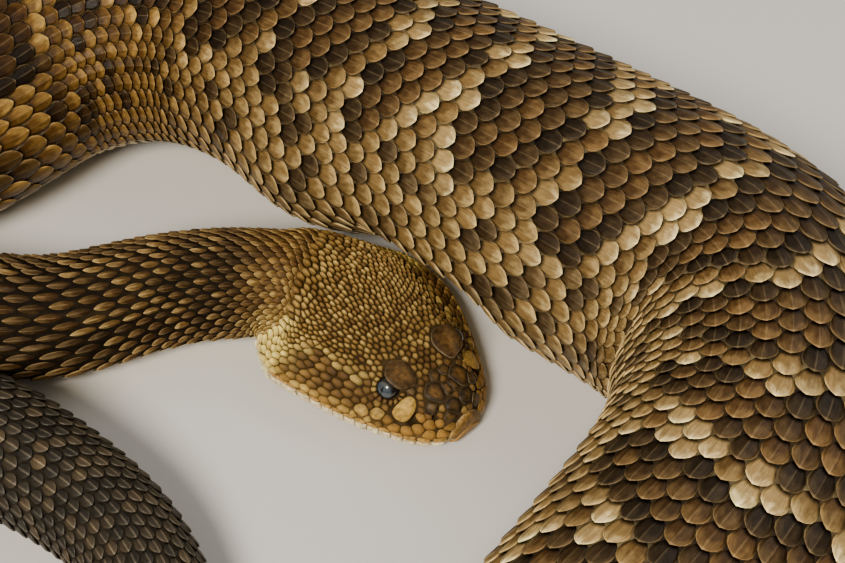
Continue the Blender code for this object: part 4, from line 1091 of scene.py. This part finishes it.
def make_head():
    rng = np.random.default_rng(11)
    rows, colours, rims = [], [], []

    def add(colour, rim, **values):
        entry = dict(keel=0.0, dome=0.2, tilt=0.0, lean=0.0, lift=0.0, thick=0.42, line=0.0, shape=2.2, kind=1.0, lot=rng.random())
        entry.update(values)
        rows.append([entry[f] for f in FIELDS])
        colours.append(np.asarray(colour, float))
        rims.append(np.asarray(rim, float))

    for side in (1, -1):
        for kind, s, deg, a, b, dome, tilt, lean, lift, square in SHIELDS:
            colour, rim = TONES[kind]
            shade = 0.9 + 0.2 * rng.random()
            at = math.radians(side * deg + 2.2 * (side > 0)) if kind == "brow" else mid(deg, side)
            if kind == "brow" and side > 0:
                b, lean = b + 0.6, lean + 1.1
            add(colour * shade, rim * shade, s=s, angle=at, a=a, b=b, dome=dome, tilt=tilt, lean=lean, lift=lift, shape=square,
                thick=1.3 if kind == "brow" else 0.42, kind=2.0, line=0.0 if kind in ("loreal", "pale") else 0.35)
    # eyes, pits and nostrils keep the others away; they are not scales (kind 8)
    eyes = {}
    for side in (1, -1):
        for at, radius in ((EYE_AT, 2.45), (PIT_AT, 0.95), (NOSTRIL_AT, 0.7)):
            s, angle = nearest(head_place(*at, side))
            if at is EYE_AT:
                eyes[side] = (s, angle)
            add((0, 0, 0), (0, 0, 0), s=s, angle=angle, a=radius * (1.22 if at is EYE_AT else 1.0), b=radius, kind=8.0)
    # a ring of small scales round each eye, raised against the ball
    for side in (1, -1):
        s0, a0 = eyes[side]
        back = tangents(np.array([s0]), np.array([a0]))[4][0]
        count = 16
        for j in range(count):
            f = 2 * math.pi * (j + 0.5) / count
            x, y = 3.85 * math.cos(f), 3.22 * math.sin(f)
            if y * side < -1.3:
                continue
            tone = lerp(UMBER * 1.3, OLIVE * 0.8, rng.random())
            if f < 1.2 or f > 2 * math.pi - 0.9:
                tone = lerp(tone, YELLOW, 0.45 * rng.random())
            add(tone, tone * 0.6, s=s0 + back[0] * x + back[1] * y, angle=a0 + back[2] * x + back[3] * y, a=0.72, b=0.72,
                dome=0.22, lift=0.55, thick=0.7, kind=3.0)
    # the lips: supralabials above, infralabials below the mouth line
    edges = 0.2 + (MOUTH_END - 1.6) * (np.arange(16) / 15) ** 1.04
    for side in (1, -1):
        for i in range(15):
            s, half = (edges[i] + edges[i + 1]) / 2, (edges[i + 1] - edges[i]) / 2
            lot = rng.random()
            rear = float(ramp(s, 22, 38))
            tone = lerp(OCHRE, lerp(YELLOW, OCHRE, 0.5) * 1.15, min(1.0, 0.4 * lot + 0.7 * rear))
            if s > 30 and lot > 0.5:
                tone = lerp(tone, np.array((0.42, 0.20, 0.05)), 0.5)
            top_deg, low_deg = 91.5, 101.6
            where = surface(np.full(2, s), np.radians(np.array((top_deg, low_deg))) * side)
            tall = float(np.linalg.norm(where[1] - where[0])) / 2
            add(tone, tone * 0.82, s=s, angle=side * math.radians(96.6), a=half, b=tall * 0.96, dome=0.12, shape=4.5, thick=0.4, kind=4.0)
            # their pale lower edge, over the mouth line
            tone = lerp(tone, lerp(WHITE, PALE, 0.3 * lot), float(ramp(s, 7.0, 14.0)))
            where = surface(np.full(2, s), np.radians(np.array((101.6, 107.0))) * side)
            tall = float(np.linalg.norm(where[1] - where[0])) / 2
            add(tone, tone * 0.88, s=s, angle=side * math.radians(104.3), a=half, b=tall * 0.98, dome=0.10, shape=4.5, thick=0.4, kind=4.0)
            tone = lerp(WHITE, PALE, 0.25 * (1 - lot))
            where = surface(np.full(2, s + 0.4), np.radians(np.array((109.5, 121.0))) * side)
            tall = float(np.linalg.norm(where[1] - where[0])) / 2
            add(tone, tone * 0.85, s=s + 0.4, angle=side * math.radians(115.2), a=half, b=tall * 0.98, dome=0.14, shape=4.5, thick=0.4, kind=5.0)
    # thrown granules
    tries = 52000
    s = rng.uniform(0.9, 54.5, tries)
    deg = rng.uniform(-127.0, 127.0, tries)
    side_deg = np.abs(deg)
    keep = np.where(s < 43.5, side_deg < 88.5, side_deg < 127.0)
    keep &= ~((s < 5.5) & (side_deg > 62) & (side_deg < 80) & (s < 1.5))
    s, deg = s[keep], deg[keep]
    a, b = granule_size(s, np.abs(deg))
    angle = np.radians(deg)
    where = surface(s, angle)
    table_ = np.array(rows)
    got_p = list(surface(table_[:, 0], table_[:, 1]))
    got = [list(r[:4]) for r in table_]
    P = np.zeros((len(rows) + 4000, 3))
    Q = np.zeros((len(rows) + 4000, 3))
    P[: len(rows)] = got_p
    Q[: len(rows)] = table_[:, [0, 2, 3]]
    n = len(rows)
    base = n
    picked = []
    for k in range(len(s)):
        d = P[:n] - where[k]
        close = np.flatnonzero((np.abs(d) < 8.0).all(1))
        dx = np.abs(Q[close, 0] - s[k])
        dy = np.sqrt(np.maximum((d[close] ** 2).sum(1) - dx**2, 0))
        gap = np.hypot(dx / (a[k] + Q[close, 1]), dy / (b[k] + Q[close, 2]))
        if len(gap) and gap.min() < 0.83:
            continue
        P[n], Q[n] = where[k], (s[k], a[k], b[k])
        n += 1
        picked.append(k)
    s, angle = s[picked], angle[picked]
    # let them settle to even spacing
    for _ in range(14):
        deg = np.degrees(np.abs(angle))
        a, b = granule_size(s, deg)
        P[base:n] = surface(s, angle)
        Q[base:n] = np.stack([s, a, b], -1)
        push_x, push_y = np.zeros(len(s)), np.zeros(len(s))
        _, t, b_dir, _, back = tangents(s, angle)
        for k in range(len(s)):
            d = P[base + k] - P[:n]
            close = np.flatnonzero((np.abs(d) < 6.5).all(1))
            close = close[close != base + k]
            dx = (d[close] * t[k]).sum(1) / (a[k] + Q[close, 1])
            dy = (d[close] * b_dir[k]).sum(1) / (b[k] + Q[close, 2])
            gap = np.hypot(dx, dy)
            force = np.maximum(1.12 - gap, 0) * 0.45
            push_x[k] = (dx / np.maximum(gap, 1e-6) * force).sum() * a[k]
            push_y[k] = (dy / np.maximum(gap, 1e-6) * force).sum() * b[k]
        push = np.hypot(push_x, push_y)
        slow = np.minimum(1.0, 0.5 / np.maximum(push, 1e-6))
        s = np.clip(s + (back[:, 0] * push_x + back[:, 1] * push_y) * slow, 0.8, 55.0)
        angle = angle + (back[:, 2] * push_x + back[:, 3] * push_y) * slow
        top = np.where(s < 43.5, math.radians(89.0), math.radians(127.0))
        angle = np.clip(angle, -top, top)
    deg = np.degrees(angle) - TILTED * (1 - np.minimum(np.abs(np.degrees(angle)) / 95, 1) ** 2)
    side_deg = np.abs(deg)
    a, b = granule_size(s, side_deg)
    lot, lot2 = rng.random(len(s)), rng.random(len(s))
    # colours: olive-brown crown with dark seams, dark brown temple, pale cheek brightened further as painted light,
    # ochre muzzle
    crown = lerp(OLIVE, lerp(TAN, YELLOW, 0.4) * 1.05, 0.9 * lot**2) * (1.0 + 0.22 * ramp(s, 30, 46))[:, None]
    crown = lerp(crown, UMBER * 1.7, 0.7 * (lot2 > 0.80))
    front = 1 - ramp(s, 14, 20)
    crown = lerp(crown, lerp(UMBER * 1.5, OLIVE * 0.7, (lot > 0.5) * 1.0), 0.75 * front)
    temple = lerp(UMBER * 1.5, OLIVE * 0.85, lot)
    temple = lerp(temple, YELLOW * 0.85, 0.9 * (side_deg < 63.5) * (s > 17) * (s < 38) * (lot2 > 0.2))
    lower = ramp(side_deg, 81, 87)
    temple = lerp(temple, lerp(OCHRE, YELLOW, lot), lower)
    snout = lerp(UMBER * 2.0, OCHRE * 0.85, ramp(side_deg + 4 * (lot - 0.5), 54, 64))
    # the cheek's own pale colour, pushed brighter as painted light where the lamp falls on the jaw
    cheek = lerp(np.array((0.80, 0.60, 0.15)), np.array((1.0, 0.88, 0.58)), ramp(side_deg, 88, 104))
    cheek = lerp(cheek, np.array((0.88, 0.70, 0.24)), 0.5 * lot)
    colour = crown
    colour = lerp(colour, temple, ramp(side_deg + 3 * (lot - 0.5), 53, 60) * ramp(s, 14, 19) * (1 - ramp(s + 3 * lot, 39, 44)))
    colour = lerp(colour, cheek, ramp(side_deg + 8 * (lot - 0.5), 56, 72) * ramp(s + 4 * (lot2 - 0.5), 37.0, 43.0))
    colour = lerp(colour, snout, (1 - ramp(s, 11, 15)) * ramp(side_deg, 42, 56))
    colour = colour * (0.82 + 0.36 * lot[:, None])
    rear = ramp(s, 22, 32)
    # painted light: the rims of the cheek and jaw granules are kept pale here
    lit_cheek = ramp(side_deg, 60, 76) * ramp(s, 38.0, 43.0)
    drop = ramp(side_deg, 54, 60) * ramp(s, 18, 24) * (1 - ramp(s, 42, 50)) * (1 - ramp(side_deg, 82, 90))
    smooth = np.maximum(ramp(side_deg, 54, 62) * ramp(s, 14, 19) * (1 - ramp(s, 40, 46)), 1 - ramp(s, 10, 16))
    for k in range(len(s)):
        dark = max(0.42 + 0.28 * smooth[k], 0.78 * lit_cheek[k])
        add(colour[k], colour[k] * dark, s=s[k], angle=angle[k], a=a[k], b=b[k], keel=0.17 * rear[k] * (1 - smooth[k]) + 0.03,
            dome=0.24 - 0.10 * smooth[k], tilt=(0.24 * rear[k] + 0.05) * (1 - 0.6 * smooth[k]) + 0.20 * drop[k], shape=2.0, thick=0.38, kind=6.0,
            line=0.18 * (1 - ramp(s[k], 10, 16)), lot=lot[k])
    items, colours, rims = np.array(rows), np.array(colours), np.array(rims)
    kind = items[:, FIELDS.index("kind")]
    mosaic("head_shields", items, colours, rims, (kind == 2) | (kind == 3), SHIELD, (-6.0, 60.0), 28)
    mosaic("lip_shields", items, colours, rims, (kind == 4) | (kind == 5), SHIELD, (-6.0, 60.0), 28)
    mosaic("scales_head", items, colours, rims, kind == 6, SCALE_HEAD, (-6.0, 60.0), 16)


def make_rostral():
    """The shield over the front of the snout and the one on the chin, each a cap of rings about the snout's tip."""
    around = 48
    for name, centre, reach, colour, rim in (("rostral", 0.0, 107.0, OCHRE * 0.42, np.array((0.36, 0.235, 0.09))), ("mental", math.pi, 62.0, OCHRE * 0.8, OCHRE)):
        phi = centre + np.radians(reach) * np.linspace(-1, 1, around)
        inner = np.array((-3.9, -3.2, -2.4, -1.5, -0.7, 0.0, 0.4))
        s, a = np.meshgrid(inner, phi, indexing="ij")
        edge = np.abs(np.linspace(-1, 1, around))[None] * np.ones_like(s)
        near = np.maximum(ramp(s, -0.1, 0.6), ramp(edge, 0.97, 1.0))
        height = 0.02 + 0.06 * ramp(s, -2.6, -0.8) - 0.20 * np.maximum(ramp(s, -0.1, 0.4), ramp(edge, 0.94, 1.0))
        top = place(s, a, height).reshape(-1, 3)
        low = place(s, a, np.full(s.shape, -0.35)).reshape(-1, 3)
        tone = colour * (1 - near[..., None]) + rim * near[..., None]
        rows_, cols = s.shape
        faces = []
        for r in range(rows_ - 1):
            for c in range(cols - 1):
                q = (r * cols + c, r * cols + c + 1, (r + 1) * cols + c + 1, (r + 1) * cols + c)
                faces.append(q)
                faces.append(tuple(v + rows_ * cols for v in q[::-1]))
        rim_line = [c for c in range(cols)] + [r * cols + cols - 1 for r in range(1, rows_)]
        rim_line += [(rows_ - 1) * cols + c for c in range(cols - 2, -1, -1)] + [r * cols for r in range(rows_ - 2, 0, -1)]
        n = rows_ * cols
        for i, v in enumerate(rim_line):
            w = rim_line[(i + 1) % len(rim_line)]
            faces.append((w, v, v + n, w + n))
        points = np.vstack([top, low])
        middle = points.mean(0)
        q = faces[0]
        if np.dot(np.cross(points[q[1]] - points[q[0]], points[q[2]] - points[q[1]]), BACK_3) > 0:
            faces = [f[::-1] for f in faces]
        # painted shade: the underside is dark
        tints = np.vstack([tone.reshape(-1, 3), tone.reshape(-1, 3) * 0.2])
        uv = np.stack([0.5 + (s / -4.2 + 1.05) * np.cos(a) * 0.45, 0.5 + (s / -4.2 + 1.05) * np.sin(a) * 0.45], -1).reshape(-1, 2)
        uv = np.clip(np.vstack([uv, uv * 0.02]), 0, 1)
        loops = np.concatenate([np.array(f) for f in faces])
        starts = np.concatenate([[0], np.cumsum([len(f) for f in faces])[:-1]])
        make_piece(name + "_shield", points, loops, starts, tints, uv, SHIELD)


def make_throat():
    """Small smooth scales under the jaw."""
    groups = []
    for side in (1, -1):
        for k, deg in enumerate((127.0, 138.0, 150.0, 163.0, 176.0)):
            s = 3.0 + 3.4 * (np.arange(16) + 0.5 * (k % 2))
            groups.append((s, side * np.full(len(s), deg), np.full(len(s), 50.0 + k), np.arange(len(s)) * 1.0 + 40 * (side > 0)))
    s, deg, row, number = (np.concatenate(v) for v in zip(*groups))
    lot = chance(row, number)
    scales("scales_throat", s, np.radians(deg), 3.4 * 0.62, math.radians(12.4) * 0.56, lerp(WHITE, BELLY, lot), SCALE_HEAD, (-6.0, 62.0), BROAD,
           keel=0.0, keel_at=0.25, bow=0.16, thick=0.16, sink=0.12, rim=0.2, keel_glint=0.0, lift=0.8, edge_round=0.05)


# ------------------------------------------------------------- eyes and rattle
def make_eye(side, name, node):
    """A clear-capped ball with an upright slit pupil."""
    centre = head_place(*EYE_AT, side)
    out = SIDE * (-side if (SIDE @ spine_frame(np.array([10.0]))[2][0]) < 0 else side)
    look = np.array((out[0], out[1], 0.35)) - 0.12 * BACK_3
    look /= np.linalg.norm(look)
    rows, cols = 40, 56
    theta = np.linspace(0, math.pi, rows + 1)[1:-1]
    phi = np.arange(cols) / cols * 2 * math.pi
    up = np.array((0, 0, 1.0)) - look[2] * look
    up /= np.linalg.norm(up)
    across = np.cross(up, look)
    t, f = np.meshgrid(theta, phi, indexing="ij")
    direction = (np.cos(t)[..., None] * look + np.sin(t)[..., None] * (np.cos(f)[..., None] * up + np.sin(f)[..., None] * across)).reshape(-1, 3)
    direction = np.vstack([direction, look, -look])
    points = centre + EYE_RADIUS * direction
    x, y = EYE_RADIUS * direction @ across, EYE_RADIUS * direction @ up
    facing = direction @ look
    r = np.hypot(x, y)
    iris = lerp(np.array((0.030, 0.045, 0.066)), np.array((0.055, 0.070, 0.085)), 0.5 + 0.5 * np.sin(x * 7 + 2 * np.sin(y * 5)))
    iris = lerp(iris, np.array((0.12, 0.10, 0.06)), ramp(np.abs(y), 1.2, 2.2) * 0.4)
    pupil = 1 - ramp((x / 0.27) ** 2 + (y / 1.6) ** 2, 0.7, 1.3)
    tint = lerp(iris, np.array((0.004, 0.004, 0.005)), pupil)
    tint = lerp(tint, np.array((0.008, 0.007, 0.007)), ramp(r, 2.1, 2.5))
    tint = np.where((facing < 0)[:, None], np.array((0.01, 0.009, 0.008)), tint)
    count = rows - 1
    faces = []
    for i in range(count - 1):
        for j in range(cols):
            k = (j + 1) % cols
            faces.append((i * cols + j, (i + 1) * cols + j, (i + 1) * cols + k, i * cols + k))
    n = len(points)
    for j in range(cols):
        k = (j + 1) % cols
        faces.append((n - 2, j, k))
        faces.append((n - 1, (count - 1) * cols + k, (count - 1) * cols + j))
    volume = sum(np.dot(points[a[0]] - centre, np.cross(points[a[1]] - centre, points[a[2]] - centre)) for a in faces[:20])
    if volume < 0:
        faces = [f[::-1] for f in faces]
    loops = np.concatenate([np.array(f) for f in faces])
    starts = np.concatenate([[0], np.cumsum([len(f) for f in faces])[:-1]])
    uv = np.concatenate([np.stack([0.5 + direction[list(f)] @ across * 0.23 + 0.25 * (1 if facing[list(f)].mean() > 0 else -1), 0.5 + direction[list(f)] @ up * 0.45], -1)
                         for f in faces])
    made = make_piece(name, points, loops, starts, tint, uv, EYE)
    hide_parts(node)
    return made


def make_rattle():
    """Loosely linked horny rings, each grooved round its middle and a little smaller than the last."""
    around = 40
    turn = np.arange(around) / around * 2 * math.pi
    start = RATTLE_AT + 0.1
    pitch = (RATTLE_LENGTH - 0.8) / RATTLE_SEGMENTS
    profile = ((0.02, 0.70), (0.10, 0.86), (0.20, 0.97), (0.30, 1.02), (0.38, 0.99), (0.44, 0.93), (0.50, 0.91), (0.56, 0.93),
               (0.64, 0.985), (0.74, 0.99), (0.84, 0.93), (0.92, 0.82), (0.97, 0.72))
    rings, tints = [], []
    for i in range(RATTLE_SEGMENTS):
        size = 1.0 - 0.045 * i
        last = i == RATTLE_SEGMENTS - 1
        for part, swell in profile:
            if last and part > 0.6:
                swell *= math.sqrt(max(0.05, 1 - ((part - 0.6) / 0.4) ** 2))
            s = start + (i + part) * pitch
            lobed = 1 - 0.05 * np.exp(-((np.abs(np.cos(turn)) / 0.25) ** 2))
            wide, high = 4.6 * size * swell * lobed, 6.4 * size * swell * lobed
            here, tail, left, _ = spine_frame(np.array([s]))
            up = np.maximum(6.0 * size + high * np.cos(turn), 0.02)
            plan = here + left * (wide * np.sin(turn))[:, None] - np.array(COIL_CENTRE)
            rings.append(np.concatenate([plan, up[:, None]], -1))
            horn = np.array((0.40, 0.30, 0.17)) * (0.55 + 0.5 * swell**3) * (1 if i else 0.55)
            if i == 0:
                horn = lerp(horn, TAIL * 1.5, 0.6)
            tints.append(np.repeat(horn[None], around, 0) * (0.9 + 0.2 * chance(turn * 3, float(i))[:, None]))
    count = len(rings)
    points = np.vstack(rings + [rings[0].mean(0)[None], rings[-1].mean(0)[None]])
    tints = np.vstack(tints + [tints[0][:1], tints[-1][:1]])
    faces = []
    for i in range(count - 1):
        for j in range(around):
            k = (j + 1) % around
            faces.append((i * around + j, i * around + k, (i + 1) * around + k, (i + 1) * around + j))
    n = len(points)
    for j in range(around):
        k = (j + 1) % around
        faces.append((n - 2, k, j))
        faces.append((n - 1, (count - 1) * around + j, (count - 1) * around + k))
    loops = np.concatenate([np.array(f) for f in faces])
    starts = np.concatenate([[0], np.cumsum([len(f) for f in faces])[:-1]])
    ring_number = np.concatenate([np.repeat(np.arange(count), around), [0, count - 1]])
    angle = np.concatenate([np.tile(turn, count), [0, 0]])
    uv = np.stack([0.02 + 0.96 * ring_number / count + 0.002 * (angle == 0), 0.02 + 0.96 * angle / (2 * math.pi)], -1)
    made = make_piece("rattle_rings", points, loops, starts, tints, uv, HORN)
    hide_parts("rattle")
    return made


# ------------------------------------------------------------- the whole animal
skin = make_skin()
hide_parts(*[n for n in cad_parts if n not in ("eye_left", "eye_right", "rattle")])
make_rows()
make_scutes()
make_head()
make_rostral()
make_throat()
make_eye(1, "eyeball_left", "eye_left")
make_eye(-1, "eyeball_right", "eye_right")
make_rattle()

# --------------------------------------------------------------- studio, camera
floor_mesh = bpy.data.meshes.new("floor")
floor_mesh.from_pydata([(-6, -6, 0), (6, -6, 0), (6, 6, 0), (-6, 6, 0)], [], [(0, 1, 2, 3)])
floor = bpy.data.objects.new("floor", floor_mesh)
bpy.context.scene.collection.objects.link(floor)
paint = bpy.data.materials.new("studio_floor")
paint.use_nodes = True
shader = paint.node_tree.nodes["Principled BSDF"]
speck = wire(paint.node_tree, "ShaderNodeTexNoise", Vector=paint.node_tree.nodes.new("ShaderNodeTexCoord").outputs["Object"], Scale=3.0)
tone = wire(paint.node_tree, "ShaderNodeMapRange", Value=speck.outputs["Fac"], To_Min=0.62, To_Max=0.66)
shade = wire(paint.node_tree, "ShaderNodeCombineColor", Red=tone.outputs["Result"], Green=tone.outputs["Result"], Blue=tone.outputs["Result"])
paint.node_tree.links.new(shade.outputs["Color"], shader.inputs["Base Color"])
shader.inputs["Roughness"].default_value = 0.85
floor_mesh.materials.append(paint)

world = bpy.data.worlds.new("studio")
bpy.context.scene.world = world
world.use_nodes = True
world.node_tree.nodes["Background"].inputs["Color"].default_value = (1.0, 0.93, 0.81, 1)
world.node_tree.nodes["Background"].inputs["Strength"].default_value = 0.33


def area_light(name, at, aim, size, power, colour):
    lamp = bpy.data.lights.new(name, "AREA")
    lamp.shape = "DISK"
    lamp.size = size
    lamp.energy = power
    lamp.color = colour
    made = bpy.data.objects.new(name, lamp)
    made.location = at
    direction = np.array(aim) - np.array(at)
    bpy.context.scene.collection.objects.link(made)
    from mathutils import Vector

    made.rotation_euler = Vector(direction).to_track_quat("-Z", "Y").to_euler()
    return made


area_light("key", (-0.28, -0.72, 0.95), (0.06, 0.0, 0.03), 0.42, 21.0, (1.0, 0.90, 0.75))
area_light("fill", (0.75, 0.5, 0.9), (0.05, 0.0, 0.03), 1.1, 6.0, (1.0, 0.95, 0.88))

lens = bpy.data.cameras.new("camera")
lens.sensor_width = 36.0
lens.lens = 36.0 * 1490.6 / 845.0
lens.clip_start = 0.01
lens.dof.use_dof = False
camera = bpy.data.objects.new("camera", lens)
camera.location = (-COIL_CENTRE[0] * MM, -COIL_CENTRE[1] * MM, 0.32347)
camera.rotation_euler = (math.radians(90 - 51.64), 0, 0)
bpy.context.scene.collection.objects.link(camera)
bpy.context.scene.camera = camera
